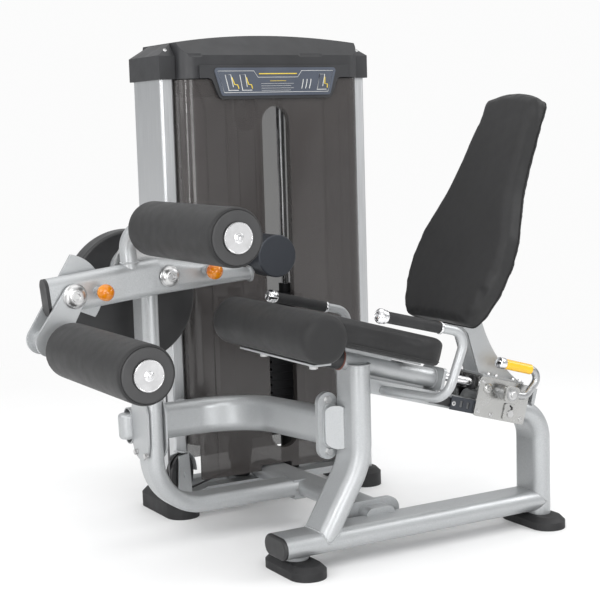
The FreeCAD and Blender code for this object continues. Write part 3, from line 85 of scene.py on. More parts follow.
X = Vector((1, 0, 0))
Y = Vector((0, 1, 0))
Z = Vector((0, 0, 1))


def at(x, y, z):
    return Vector(((x + OFFSET_X) * MM, (y + OFFSET_Y) * MM, z * MM))


SEAT_TILT = math.radians(16.0)
RAIL_DIR = Vector((math.cos(SEAT_TILT), 0, -math.sin(SEAT_TILT)))
RAIL_UP = Vector((math.sin(SEAT_TILT), 0, math.cos(SEAT_TILT)))
BACK_TILT = math.radians(25.0)
BACK_UP = Vector((math.sin(BACK_TILT), 0, math.cos(BACK_TILT)))
BACK_OUT = Vector((-math.cos(BACK_TILT), 0, math.sin(BACK_TILT)))
PAD_DEPTH = 56.0


def on_rail(along, y, up):
    return at(RAIL_ORIGIN[0], y, RAIL_ORIGIN[1]) + (RAIL_DIR * along + RAIL_UP * up) * MM


def on_back(up, y, out):
    return at(BACK_ORIGIN[0], y, BACK_ORIGIN[1]) + (BACK_UP * up + BACK_OUT * (out - PAD_DEPTH)) * MM


# ---- camera ----
CAMERA_AT = (-2069.6, -3211.9, 1177.3)
CAMERA_TURN = (29.78, 6.89, -1.69)     # degrees: right of +Y, down, tilted about the view
CAMERA_LENS = 84.83                    # for a sensor 36 mm wide


def add_camera():
    """A long lens in front of the machine, on the side away from the tower."""
    yaw, pitch, roll = (math.radians(turn) for turn in CAMERA_TURN)
    ahead = Vector((math.sin(yaw) * math.cos(pitch), math.cos(yaw) * math.cos(pitch), -math.sin(pitch)))
    right = Vector((math.cos(yaw), -math.sin(yaw), 0))
    up = right.cross(ahead)
    side = right * math.cos(roll) + up * math.sin(roll)
    top = up * math.cos(roll) - right * math.sin(roll)
    camera = bpy.data.objects.new("camera", bpy.data.cameras.new("camera"))
    bpy.context.scene.collection.objects.link(camera)
    turn = Matrix((side, top, -ahead)).transposed().to_4x4()
    camera.matrix_world = Matrix.Translation(at(*CAMERA_AT)) @ turn
    camera.data.sensor_width = 36.0
    camera.data.lens = CAMERA_LENS
    camera.data.clip_end = 60.0
    bpy.context.scene.camera = camera


# ---- materials ----
class Shader:
    """A Principled material with short calls for its procedural nodes."""

    def __init__(self, name, color, roughness, metallic=0.0):
        self.material = bpy.data.materials.new(name)
        self.material.use_nodes = True
        self.tree = self.material.node_tree
        self.bsdf = self.tree.nodes["Principled BSDF"]
        self.bsdf.inputs["Base Color"].default_value = (*color, 1)
        self.bsdf.inputs["Roughness"].default_value = roughness
        self.bsdf.inputs["Metallic"].default_value = metallic
        self.coord = self.tree.nodes.new("ShaderNodeTexCoord").outputs["Object"]
        self.material.diffuse_color = (*color, 1)

    def set(self, socket, value):
        self.bsdf.inputs[socket].default_value = value
        return self

    def node(self, kind, **values):
        made = self.tree.nodes.new(kind)
        for key, value in values.items():
            setattr(made, key, value)
        return made

    def link(self, source, target):
        self.tree.links.new(source, target)

    def stretched(self, scale):
        mapping = self.node("ShaderNodeMapping")
        mapping.inputs["Scale"].default_value = scale
        self.link(self.coord, mapping.inputs["Vector"])
        return mapping.outputs["Vector"]

    def noise(self, scale, detail, stretch=(1, 1, 1)):
        made = self.node("ShaderNodeTexNoise")
        made.inputs["Scale"].default_value = scale
        made.inputs["Detail"].default_value = detail
        self.link(self.stretched(stretch), made.inputs["Vector"])
        return made.outputs["Fac"]

    def cells(self, scale, feature="F1"):
        made = self.node("ShaderNodeTexVoronoi", feature=feature)
        made.inputs["Scale"].default_value = scale
        self.link(self.stretched((1, 1, 1)), made.inputs["Vector"])
        return made.outputs["Distance"]

    def spread(self, value, low, high, from_low=0.0, from_high=1.0):
        made = self.node("ShaderNodeMapRange")
        made.inputs["From Min"].default_value = from_low
        made.inputs["From Max"].default_value = from_high
        made.inputs["To Min"].default_value = low
        made.inputs["To Max"].default_value = high
        self.link(value, made.inputs["Value"])
        return made.outputs["Result"]

    def blend(self, factor, first, second):
        made = self.node("ShaderNodeMix", data_type="RGBA")
        made.inputs[6].default_value = (*first, 1)
        made.inputs[7].default_value = (*second, 1)
        self.link(factor, made.inputs[0])
        return made.outputs[2]

    def colors(self, factor, first, second):
        self.link(self.blend(factor, first, second), self.bsdf.inputs["Base Color"])
        return self

    def rough(self, factor, low, high):
        self.link(self.spread(factor, low, high, 0.3, 0.7), self.bsdf.inputs["Roughness"])
        return self

    def bump(self, layers, edge=0.0):
        """layers are (height output, strength, distance); edge rounds hard corners by that radius."""
        normal = None
        if edge:
            rounded = self.node("ShaderNodeBevel", samples=4)
            rounded.inputs["Radius"].default_value = edge
            normal = rounded.outputs["Normal"]
        for height, strength, distance in layers:
            made = self.node("ShaderNodeBump")
            made.inputs["Strength"].default_value = strength
            made.inputs["Distance"].default_value = distance
            self.link(height, made.inputs["Height"])
            if normal:
                self.link(normal, made.inputs["Normal"])
            normal = made.outputs["Normal"]
        self.link(normal, self.bsdf.inputs["Normal"])
        return self


def painted(name, dark, light, rough_low, rough_high, coat=0.25):
    """Metallic powder coat: fine flake, faint orange peel and cloudy tone."""
    s = Shader(name, light, rough_low, 0.55)
    s.colors(s.spread(s.noise(900, 2), 0, 1, 0.35, 0.65), dark, light)
    s.rough(s.noise(14, 4), rough_low, rough_high)
    s.set("Coat Weight", coat).set("Coat Roughness", 0.28)
    return s.bump([(s.noise(260, 2), 0.10, 0.0004), (s.noise(1400, 1), 0.06, 0.0002)], 0.0012).material


def polished(name, color, rough_low, rough_high, stretch=(1, 1, 1), scale=60, bump=0.03):
    """Bare or plated metal with fine scratches."""
    s = Shader(name, color, rough_low, 1.0)
    grain = s.noise(scale, 5, stretch)
    darker = tuple(c * 0.86 for c in color)
    s.colors(s.spread(grain, 0, 1, 0.3, 0.7), darker, color)
    s.rough(grain, rough_low, rough_high)
    return s.bump([(grain, bump, 0.0003)], 0.0006).material


def moulded(name, dark, light, rough_low, rough_high, grain=500, strength=0.15, coat=0.0):
    """Moulded plastic or rubber: fine pebbled grain and slight dust."""
    s = Shader(name, light, rough_low)
    s.colors(s.spread(s.noise(9, 5), 0, 1, 0.35, 0.65), dark, light)
    s.rough(s.noise(22, 5), rough_low, rough_high)
    s.set("Coat Weight", coat).set("Coat Roughness", 0.08)
    return s.bump([(s.cells(grain), strength, 0.0003), (s.noise(40, 3), 0.04, 0.0008)], 0.0010).material


def vinyl(name, dark, light):
    """Upholstery vinyl: small creased cells, a faint sheen, slight scuffing."""
    s = Shader(name, light, 0.55)
    s.colors(s.spread(s.noise(6, 5), 0, 1, 0.3, 0.7), dark, light)
    s.rough(s.noise(30, 5), 0.50, 0.62)
    s.set("Sheen Weight", 0.04).set("Sheen Roughness", 0.5).set("Specular IOR Level", 0.28)
    cells = s.spread(s.cells(650, "DISTANCE_TO_EDGE"), 0, 1, 0.0, 0.25)
    layers = [(s.noise(18, 4), 0.08, 0.0015), (cells, 0.16, 0.0003), (s.noise(1500, 2), 0.08, 0.0002)]
    return s.bump(layers).material


def knob_plastic(name, dark, light):
    """Translucent glossy ball knob."""
    s = Shader(name, light, 0.10)
    s.colors(s.spread(s.noise(25, 3), 0, 1, 0.3, 0.7), dark, light)
    s.rough(s.noise(60, 3), 0.07, 0.14)
    s.set("Coat Weight", 0.25).set("Coat Roughness", 0.04).set("Subsurface Weight", 0.05)
    s.set("Subsurface Radius", (0.01, 0.004, 0.001))
    return s.bump([(s.noise(90, 2), 0.02, 0.0004)]).material


def smoked(name, dark, light, alpha, gloss):
    """Smoked acrylic sheet: see-through, glossy, with fine drawing waves and faint handling marks."""
    s = Shader(name, light, 0.2)
    s.colors(s.spread(s.noise(2.5, 3), 0, 1, 0.3, 0.7), dark, light)
    s.rough(s.noise(18, 5, (1, 1, 0.5)), gloss, gloss + 0.10)
    s.set("Alpha", alpha).set("Coat Weight", 0.3).set("Coat Roughness", 0.08)
    layers = [(s.noise(3, 2, (1, 1, 0.4)), 0.06, 0.006), (s.noise(420, 2), 0.03, 0.0002)]
    return s.bump(layers, 0.0015).material


MATERIALS = {
    "frame_paint": painted("frame_paint", (0.36, 0.372, 0.380), (0.49, 0.502, 0.510), 0.34, 0.44),
    "column_aluminium": polished("column_aluminium", (0.60, 0.61, 0.62), 0.34, 0.46,
                                 (8, 8, 0.12), 60, 0.05),
    "disc_aluminium": polished("disc_aluminium", (0.66, 0.66, 0.66), 0.26, 0.40, (1, 1, 1), 300, 0.04),
    "chrome": polished("chrome", (0.80, 0.80, 0.81), 0.05, 0.14, (1, 1, 1), 40, 0.02),
    "bright_zinc": polished("bright_zinc", (0.50, 0.50, 0.49), 0.18, 0.32, (1, 1, 1), 22, 0.05),
    "bare_steel": polished("bare_steel", (0.60, 0.60, 0.60), 0.27, 0.36, (1, 1, 1), 320, 0.008),
    "cable_steel": polished("cable_steel", (0.16, 0.16, 0.165), 0.35, 0.5, (1, 1, 1), 900, 0.3),
    "black_plastic": moulded("black_plastic", (0.011, 0.011, 0.012), (0.020, 0.020, 0.021), 0.36, 0.52),
    "head_plastic": moulded("head_plastic", (0.017, 0.0175, 0.019), (0.024, 0.0245, 0.027),
                            0.38, 0.52, 900, 0.15),
    "smoked_shroud": smoked("smoked_shroud", (0.046, 0.041, 0.040), (0.060, 0.054, 0.052), 0.77, 0.20),
    "rear_panel": smoked("rear_panel", (0.052, 0.048, 0.036), (0.066, 0.060, 0.046), 0.56, 0.24),
    "vinyl": vinyl("vinyl", (0.0165, 0.0165, 0.0170), (0.0215, 0.0215, 0.0222)),
    "rubber": moulded("rubber", (0.008, 0.008, 0.009), (0.015, 0.015, 0.016), 0.55, 0.72, 350, 0.25),
    "orange_knob": knob_plastic("orange_knob", (0.46, 0.10, 0.002), (0.68, 0.25, 0.003)),
    "yellow_grip": moulded("yellow_grip", (0.76, 0.40, 0.008), (0.86, 0.50, 0.012),
                           0.22, 0.34, 300, 0.04, 0.3),
    "placard_print": moulded("placard_print", (0.062, 0.072, 0.096), (0.075, 0.087, 0.112),
                             0.28, 0.38, 900, 0.03),
    "dark_plate": painted("dark_plate", (0.030, 0.034, 0.042), (0.045, 0.050, 0.060), 0.36, 0.48, 0.1),
    "weight_steel": painted("weight_steel", (0.016, 0.016, 0.018), (0.028, 0.028, 0.030), 0.42, 0.56, 0.0),
}
ROLLER_END = moulded("roller_end", (0.028, 0.028, 0.029), (0.036, 0.036, 0.037), 0.46, 0.58, 500, 0.1)
SATIN_STEEL = polished("satin_steel", (0.46, 0.465, 0.47), 0.30, 0.42, (1, 1, 1), 60, 0.02)
PRINT_WHITE = moulded("print_white", (0.62, 0.63, 0.62), (0.70, 0.71, 0.70), 0.40, 0.5, 900, 0.02)
PRINT_YELLOW = moulded("print_yellow", (0.68, 0.50, 0.05), (0.76, 0.58, 0.08), 0.40, 0.5, 900, 0.02)
RUST_RIM = moulded("rust_rim", (0.10, 0.035, 0.025), (0.16, 0.05, 0.035), 0.4, 0.55, 500, 0.1)


def paint_nodes():
    slots = {row["node"]: row["material_slot"] for row in frame["record"]["subparts"]}
    for name, node in nodes.items():
        node.data.materials.clear()
        node.data.materials.append(SATIN_STEEL if name == "release_lever" else MATERIALS[slots[name]])


# ---- making pieces ----
def add_mesh(name, points, faces, slot, body, material=None):
    mesh = bpy.data.meshes.new(name)
    mesh.from_pydata([tuple(p) for p in points], [], faces)
    mesh.validate()
    mesh.materials.append(material or MATERIALS[slot])
    mesh.polygons.foreach_set("use_smooth", [True] * len(mesh.polygons))
    piece = bpy.data.objects.new(name, mesh)
    bpy.context.scene.collection.objects.link(piece)
    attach(piece, body)
    return piece


def across(axis):
    """Two directions at right angles to an axis."""
    first = axis.cross(Z if abs(axis.z) < 0.9 else X).normalized()
    return first, axis.cross(first).normalized()


def lathe(profile, base, axis, sides=32):
    """Points and faces of a turned shape; profile is (distance along, radius) in millimetres."""
    axis = axis.normalized()
    one, two = across(axis)
    points = []
    faces = []
    for along, radius in profile:
        for i in range(sides):
            turn = 2 * math.pi * i / sides
            out = one * math.cos(turn) + two * math.sin(turn)
            points.append(base + (axis * along + out * max(radius, 0.001)) * MM)
    for row in range(len(profile) - 1):
        for i in range(sides):
            j = (i + 1) % sides
            faces.append((row * sides + i, row * sides + j, (row + 1) * sides + j, (row + 1) * sides + i))
    faces.append(tuple(reversed(range(sides))))
    last = (len(profile) - 1) * sides
    faces.append(tuple(last + i for i in range(sides)))
    return points, faces


def sharpen(piece):
    """Keeps edges crisp where two faces meet at more than 35 degrees."""
    bm = bmesh.new()
    bm.from_mesh(piece.data)
    bmesh.ops.recalc_face_normals(bm, faces=bm.faces)
    limit = math.radians(35)
    for edge in bm.edges:
        edge.smooth = not (len(edge.link_faces) == 2 and edge.calc_face_angle(0) > limit)
    bm.to_mesh(piece.data)
    bm.free()
    return piece


def turned(name, profile, base, axis, slot, body, sides=32, material=None):
    points, faces = lathe(profile, base, axis, sides)
    return sharpen(add_mesh(name, points, faces, slot, body, material))


def merged(name, shapes, slot, body, material=None):
    """One piece from several (points, faces) shapes."""
    points = []
    faces = []
    for shape_points, shape_faces in shapes:
        shift = len(points)
        points += shape_points
        faces += [tuple(i + shift for i in face) for face in shape_faces]
    return sharpen(add_mesh(name, points, faces, slot, body, material))


def slab(outline, along):
    """Points and faces of a flat shape with thickness; outline and along in metres."""
    n = len(outline)
    points = list(outline) + [p + along for p in outline]
    faces = [tuple(reversed(range(n))), tuple(range(n, 2 * n))]
    faces += [(i, (i + 1) % n, n + (i + 1) % n, n + i) for i in range(n)]
    return points, faces


def circle(centre, axis, radius, sides):
    one, two = across(axis)
    turns = [math.radians(360 * i / sides) for i in range(sides)]
    return [centre + (one * math.cos(t) + two * math.sin(t)) * radius * MM for t in turns]


def ball_path(points, radius, closed, sides=10, ripple=0.0, pitch=2.5, seed=1):
    """Points and faces of a round bead along a path; ripple makes the scales of a weld."""
    steps = []
    count = len(points) if closed else len(points) - 1
    for i in range(count):
        a = points[i]
        b = points[(i + 1) % len(points)]
        parts = max(1, round((b - a).length / MM / pitch * 4)) if ripple else 1
        steps += [a.lerp(b, k / parts) for k in range(parts)]
    if not closed:
        steps.append(points[-1])
    chance = random.Random(seed)
    total = len(steps)
    made = []
    faces = []
    for i, here in enumerate(steps):
        back = steps[(i - 1) % total] if closed or i else here
        front = steps[(i + 1) % total] if closed or i < total - 1 else here
        one, two = across((front - back).normalized())
        size = radius * (1 + ripple * (math.sin(i * math.pi / 2) + chance.uniform(-0.4, 0.4)))
        for k in range(sides):
            turn = 2 * math.pi * k / sides
            made.append(here + (one * math.cos(turn) + two * math.sin(turn)) * size * MM)
    rows = total if closed else total - 1
    for i in range(rows):
        for k in range(sides):
            j = (k + 1) % sides
            n = ((i + 1) % total) * sides
            faces.append((i * sides + k, i * sides + j, n + j, n + k))
    if not closed:
        faces.append(tuple(reversed(range(sides))))
        faces.append(tuple((total - 1) * sides + k for k in range(sides)))
    return made, faces


def screw(base, axis, radius, height):
    """A domed screw head with a round socket, on a washer."""
    r = radius
    profile = [(0, r * 1.45), (1.2, r * 1.45), (1.6, r * 1.38), (1.6, r), (height * 0.6, r * 0.96),
               (height * 0.9, r * 0.78), (height, r * 0.5), (height, r * 0.44), (height * 0.45, r * 0.40)]
    return lathe(profile, base, axis, 24)


def hexagon(base, axis, radius, height):
    """A hexagon head with its washer."""
    washer = lathe([(0, radius * 1.5), (1.6, radius * 1.5), (2.0, radius * 1.42)], base, axis, 28)
    profile = [(2.0, radius), (height * 0.85, radius), (height, radius * 0.84)]
    return [washer, lathe(profile, base, axis, 6)]


# ---- upholstery ----
def applied(piece):
    """The mesh that the piece's modifiers make."""
    graph = bpy.context.evaluated_depsgraph_get()
    mesh = bpy.data.meshes.new_from_object(piece.evaluated_get(graph))
    piece.modifiers.clear()
    piece.data = mesh
    return mesh


def even_mesh(name, node, voxel):
    """A copy of the CAD pad with an even grid of small faces."""
    mesh = nodes[node].data.copy()
    mesh.name = name
    pad = bpy.data.objects.new(name, mesh)
    bpy.context.scene.collection.objects.link(pad)
    bpy.context.view_layer.objects.active = pad
    remesh = pad.modifiers.new("remesh", "REMESH")
    remesh.mode = "VOXEL"
    remesh.voxel_size = voxel * MM
    bpy.context.view_layer.update()
    applied(pad)
    return pad


def blow_up(pad, start, cap, pressure):
    """Swells the pad as cloth, moving no point by more than cap millimetres."""
    cloth = pad.modifiers.new("cloth", "CLOTH")
    settings = cloth.settings
    settings.quality = 5
    settings.mass = 0.3
    settings.tension_stiffness = 18
    settings.compression_stiffness = 18
    settings.bending_stiffness = 2.5
    settings.use_pressure = True
    settings.uniform_pressure_force = pressure
    settings.effector_weights.gravity = 0
    cloth.collision_settings.use_collision = False
    scene = bpy.context.scene
    for number in range(1, 21):
        scene.frame_set(number)
    mesh = applied(pad)
    scene.frame_set(1)
    for v, old in zip(mesh.vertices, start):
        moved = v.co - old
        if moved.length > cap * MM:
            v.co = old + moved * (cap * MM / moved.length)


def settle(name, node, body, shrink, cap, voxel, pressure, floor_point=None, floor_normal=None):
    """A cushion that stands in for a CAD pad; it stays above the board it rests on."""
    pad = even_mesh(name, node, voxel)
    start = [v.co - v.normal * shrink * MM for v in pad.data.vertices]
    for v, place in zip(pad.data.vertices, start):
        v.co = place
    blow_up(pad, start, cap, pressure)
    mesh = pad.data
    if floor_point is not None:
        for v in mesh.vertices:
            under = (v.co - floor_point).dot(floor_normal)
            if under < 0:
                v.co -= floor_normal * under
    mesh.materials.clear()
    mesh.materials.append(MATERIALS["vinyl"])
    mesh.polygons.foreach_set("use_smooth", [True] * len(mesh.polygons))
    relax = pad.modifiers.new("relax", "SMOOTH")
    relax.factor = 0.5
    relax.iterations = 7
    fine = pad.modifiers.new("fine", "SUBSURF")
    fine.levels = 1
    fine.render_levels = 1
    applied(pad)
    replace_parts(pad, node)
    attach(pad, body)
    return pad


def surface(piece):
    mesh = piece.data
    return BVHTree.FromPolygons([v.co for v in mesh.vertices], [p.vertices for p in mesh.polygons])


def piping(name, pad, outline, radius, body, sink=0.4):
    """A sewn cord along a pad's seam, laid on its surface."""
    tree = surface(pad)
    points = []
    for i, a in enumerate(outline):
        b = outline[(i + 1) % len(outline)]
        parts = max(1, int((b - a).length / 0.006))
        for k in range(parts):
            hit, normal, _, _ = tree.find_nearest(a.lerp(b, k / parts))
            points.append(hit + normal * (radius - sink) * MM)
    for _ in range(6):
        points = [(points[i - 1] + p * 2 + points[(i + 1) % len(points)]) / 4 for i, p in enumerate(points)]
    made, faces = ball_path(points, radius, True, 8)
    add_mesh(name, made, faces, "vinyl", body)


def rounded_outline(point, corners, radius, steps=6):
    """Corner list to a closed outline with rounded corners; point turns (u, v) into a place."""
    outline = []
    n = len(corners)
    for i, corner in enumerate(corners):
        here = Vector(corner)
        before = (Vector(corners[i - 1]) - here).normalized()
        after = (Vector(corners[(i + 1) % n]) - here).normalized()
        a = here + before * radius
        b = here + after * radius
        for k in range(steps + 1):
            t = k / steps
            p = a.lerp(here, t).lerp(here.lerp(b, t), t)
            outline.append(point(p.x, p.y))
    return outline


def upholster():
    seat = settle("seat_cushion", "seat_pad", "frame", 2.5, 6, 5, 4,
                  on_rail(0, 0, 34.8), RAIL_UP)
    corners = [(-178, -193), (184, -193), (184, 193), (-178, 193)]
    lower = rounded_outline(lambda u, v: on_rail(u, v, 46), corners, 60)
    piping("seat_seam", seat, lower, 1.7, "frame")
    back = settle("backrest_cushion", "backrest_pad", "carriage", 2.5, 8, 5.5, 4,
                  on_back(0, 0, 0.3), BACK_OUT)
    right = [(-232, 136), (-200, 172), (-128, 204), (-47, 214), (27, 204), (90, 180),
             (160, 154), (243, 138), (340, 127), (442, 113), (470, 4)]
    corners = right + [(u, -v) for u, v in reversed(right)]
    edge = rounded_outline(lambda u, v: on_back(u, v, 11), corners, 4, 3)
    piping("backrest_seam", back, edge, 1.7, "carriage")
    settle("knee_cushion", "knee_roll", "frame", 2.0, 4, 5, 4)
    roller_cushion("upper_cushion", "upper_roller_pad", UPPER_ROLLER, "upper_roller")
    roller_cushion("ankle_cushion", "ankle_roller_pad", ANKLE_ROLLER, "ankle_roller")


def roller_cushion(name, node, place, body):
    """A roller pad with a seam and a flat ring at each end."""
    x, z = place
    pad = settle(name, node, body, 1.5, 3, 5, 3)
    ring = [(-1.0, 66), (0.35, 66), (0.6, 62), (0.6, 39.5)]
    for side, y, out in (("near", PAD_NEAR, -1), ("far", PAD_FAR, 1)):
        rim = circle(at(x, y, z), Y, 70.5, 64)
        piping(name + "_seam_" + side, pad, rim, 1.3, body, 0.6)
        points, faces = lathe(ring, at(x, y + out * 0.2, z), Y * out, 48)
        add_mesh(name + "_end_" + side, points, faces[:-2], "vinyl", body, ROLLER_END)


# ---- fittings ----
def dome(name, base, axis, radius, height, slot, body):
    """A stepped cap with a socket in its middle."""
    r = radius
    h = height
    profile = [(0, r), (h * 0.18, r), (h * 0.22, r * 0.96), (h * 0.30, r * 0.95),
               (h * 0.55, r * 0.86), (h * 0.74, r * 0.70), (h * 0.84, r * 0.52),
               (h * 0.84, r * 0.44), (h, r * 0.42), (h, r * 0.26), (h * 0.72, r * 0.23)]
    return turned(name, profile, base, axis, slot, body, 48)


def pull_knob(name, place, body, node):
    """Ball knob on a stepped chrome collar."""
    x, z = place
    radius = 23
    turns = [math.pi * i / 24 for i in range(25)]
    ball = [(-radius * math.cos(turn), max(0.01, radius * math.sin(turn))) for turn in turns]
    knob = turned(name + "_ball", ball, at(x, 258, z), Y, "orange_knob", body, 48)
    turned(name + "_collar", [(0, 9), (1, 11), (7, 11), (8, 9.4), (12, 9.4), (13, 8.6)], at(x, 276.5, z), Y,
           "chrome", body)
    turned(name + "_shaft", [(0, 6), (83, 6), (84.5, 4.6)], at(x, 289, z), Y, "bare_steel", body, 24)
    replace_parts(knob, node)


def roller_hub(name, place, body):
    """Rim, washer, nut and bolt end on the roller's end disc."""
    x, z = place
    face = PAD_NEAR - 8
    seat = at(x, face - 0.2, z)
    rim = lathe([(0, 36.5), (0.5, 37.5), (1.1, 37.2), (1.2, 35.8), (0.5, 35.2)], at(x, face, z), -Y, 48)
    washer = lathe([(0, 12.5), (1.6, 12.5), (2.2, 11.6)], seat, -Y, 32)
    nut = lathe([(2, 9.6), (5.5, 9.6), (7.2, 7.6), (7.4, 5.2)], seat, -Y, 32)
    bolt = lathe([(7, 4.4), (11.0, 4.4), (12.2, 3.2)], seat, -Y, 20)
    merged(name, [rim, washer, nut, bolt], "chrome", body)


def oval(centre, long_dir, short_dir, length, width, steps=14):
    """A flat-oval outline, a tube's section with a little to spare."""
    r = width / 2
    half = length / 2 - r
    path = []
    for side in (1, -1):
        for i in range(steps + 1):
            turn = math.pi * i / steps - math.pi / 2
            path.append(centre + (long_dir * side * (half + r * math.cos(turn))
                                  + short_dir * side * r * math.sin(turn)) * MM)
    return path


def post_foot():
    """Where the leaning front post meets the rounded top of the base tube."""
    lean = Vector((127, 0, 210)).normalized()
    round_radius = 30
    path = oval(at(-178, 0, BASE_TOP), Y, lean.cross(Y).normalized(), 121, 61)
    path = [p - lean * ((p.z - at(0, 0, BASE_TOP + BEAD_LIFT).z) / lean.z) for p in path]
    for p in path:
        side = abs(p.y - at(0, 0, 0).y) / MM
        if side > round_radius:
            drop = round_radius - math.sqrt(max(0.0, round_radius ** 2 - (side - round_radius) ** 2))
            p -= lean * (drop * MM / lean.z)
    return path


def weld(path, radius, seed, ripple=0.16):
    return ball_path(path, radius, True, 8, ripple, seed=seed)


def welds():
    """Weld beads where tubes meet; each is a path on the joint."""
    beads = [
        weld(post_foot(), 2.4, 3),
        weld(circle(at(-269, 0, 47), Z, 36.5, 40), 2.2, 5),
        weld(oval(at(-118, 49.5, 370), Z, X, 121, 47), 2.4, 7),
        weld(oval(at(-73, 0, POST_TOP + BEAD_LIFT), Y, X, 121, 61), 2.2, 15),
        weld(circle(on_rail(274, 0, 0), RAIL_DIR, 28.0, 36), 2.2, 17),
        weld(oval(at(20, 61.5, 101), X, Z, 97, 49), 2.2, 9),
    ]
    merged("weld_beads_frame", beads, "frame_paint", "frame")
    roller_post = circle(at(-570.4, 335, 832), Vector((-0.02, 0, 1)).normalized(), 23.6, 36)
    arm = [weld(roller_post, 2.4, 11)]
    for x, z in (FRONT_PIN, REAR_PIN):
        arm.append(weld(circle(at(x, ARM_NEAR - BEAD_LIFT, z), Y, 13.5, 28), 1.6, 13, 0.12))
    merged("weld_beads_arm", arm, "frame_paint", "lever")


def lever_fittings():
    """Pivot caps, pull knobs and the rollers' hub nuts."""
    dome("pivot_cap", at(PIVOT[0], 306, PIVOT[1]), -Y, 29, 22, "bare_steel", "cam_hub")
    dome("ankle_cap", at(ANKLE_PIVOT[0], 295, ANKLE_PIVOT[1]), -Y, 33, 19, "bare_steel", "ankle_link")
    pull_knob("front_knob", FRONT_PIN, "front_pin", "front_pull_pin")
    pull_knob("rear_knob", REAR_PIN, "rear_pin", "rear_pull_pin")
    roller_hub("upper_hub", UPPER_ROLLER, "upper_roller")
    roller_hub("ankle_hub", ANKLE_ROLLER, "ankle_roller")


def handle_fittings():
    """Stepped end knobs, and ferrules where the grips meet the tubes."""
    knob = [(-2, 13.2), (-2, 15.9), (2, 17.8), (6, 17.8), (7, 16.2), (9, 16.2),
            (10, 18.6), (15, 19.6), (20, 18.4), (24, 15.2), (25.6, 12.6),
            (24.8, 12.0), (24.6, 9.6), (26.0, 9.0), (26.4, 5.0), (25.4, 4.6), (25.3, 0.4)]
    ring = [(0, 13.1), (0, 15.9), (1, 16.6), (5, 16.6), (6, 15.9), (6, 13.1)]
    knobs = []
    ferrules = []
    for side in (-GRIP_SIDE, GRIP_SIDE):
        front = at(GRIP_FRONT[0], side, GRIP_FRONT[1])
        back = (at(GRIP_REAR[0], side, GRIP_REAR[1]) - front).normalized()
        knobs.append(lathe(knob, front, -back, 48))
        ferrules.append(lathe(ring, front + back * GRIP_END * MM, back, 40))
    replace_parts(merged("handle_knobs", knobs, "chrome", "frame"), "handle_caps")
    merged("handle_ferrules", ferrules, "chrome", "frame")


def placard_print():
    """Outline, machine pictograms and plain rules; no lettering."""

    def spot(u, v):
        """u across from -1 to 1, v up from 0 to 1, on the plate's face."""
        half_width = 188 + 23 * v
        return at(TOWER_MIDDLE + u * half_width, 600.7, 1284 + v * 80)

    def stroke(points, radius, closed=False):
        return ball_path([spot(u, v) for u, v in points], radius, closed, 6)

    outline = [(-0.95, 0.10), (0.95, 0.10), (0.96, 0.90), (0.42, 0.90), (0.36, 0.66), (-0.32, 0.66),
               (-0.38, 0.90), (-0.96, 0.90)]
    white = [stroke(outline, 0.8, True)]
    yellow = []
    for u in (-0.78, -0.54, 0.82):
        white.append(stroke([(u - 0.08, 0.20), (u - 0.08, 0.76),
                             (u + 0.01, 0.76), (u + 0.01, 0.30)], 1.2))
        white.append(stroke([(u - 0.09, 0.18), (u + 0.09, 0.18)], 1.2))
        yellow.append(stroke([(u + 0.02, 0.66), (u + 0.04, 0.40),
                              (u + 0.09, 0.38), (u + 0.10, 0.24)], 1.8))
    for row in range(4):
        v = 0.42 - row * 0.085
        white.append(stroke([(-0.28, v), (0.30 - 0.05 * (row % 2), v)], 0.5))
    for i in range(3):
        u = 0.46 + 0.07 * i
        white.append(stroke([(u, 0.58), (u, 0.44), (u - 0.012, 0.22)], 1.3))
    merged("placard_lines", white, "placard_print", "frame", PRINT_WHITE)
    yellow.append(stroke([(-0.30, 0.79), (0.34, 0.79)], 1.8))
    yellow.append(stroke([(-0.12, 0.52), (0.16, 0.52)], 0.8))
    merged("placard_accents", yellow, "placard_print", "frame", PRINT_YELLOW)
    slope = Vector((0, -1, 1)).normalized()
    screws = [screw(at(x, 675, 1421.2), slope, 4.2, 3.0) for x in (-283, 390)]
    merged("head_screws", screws, "bare_steel", "frame")


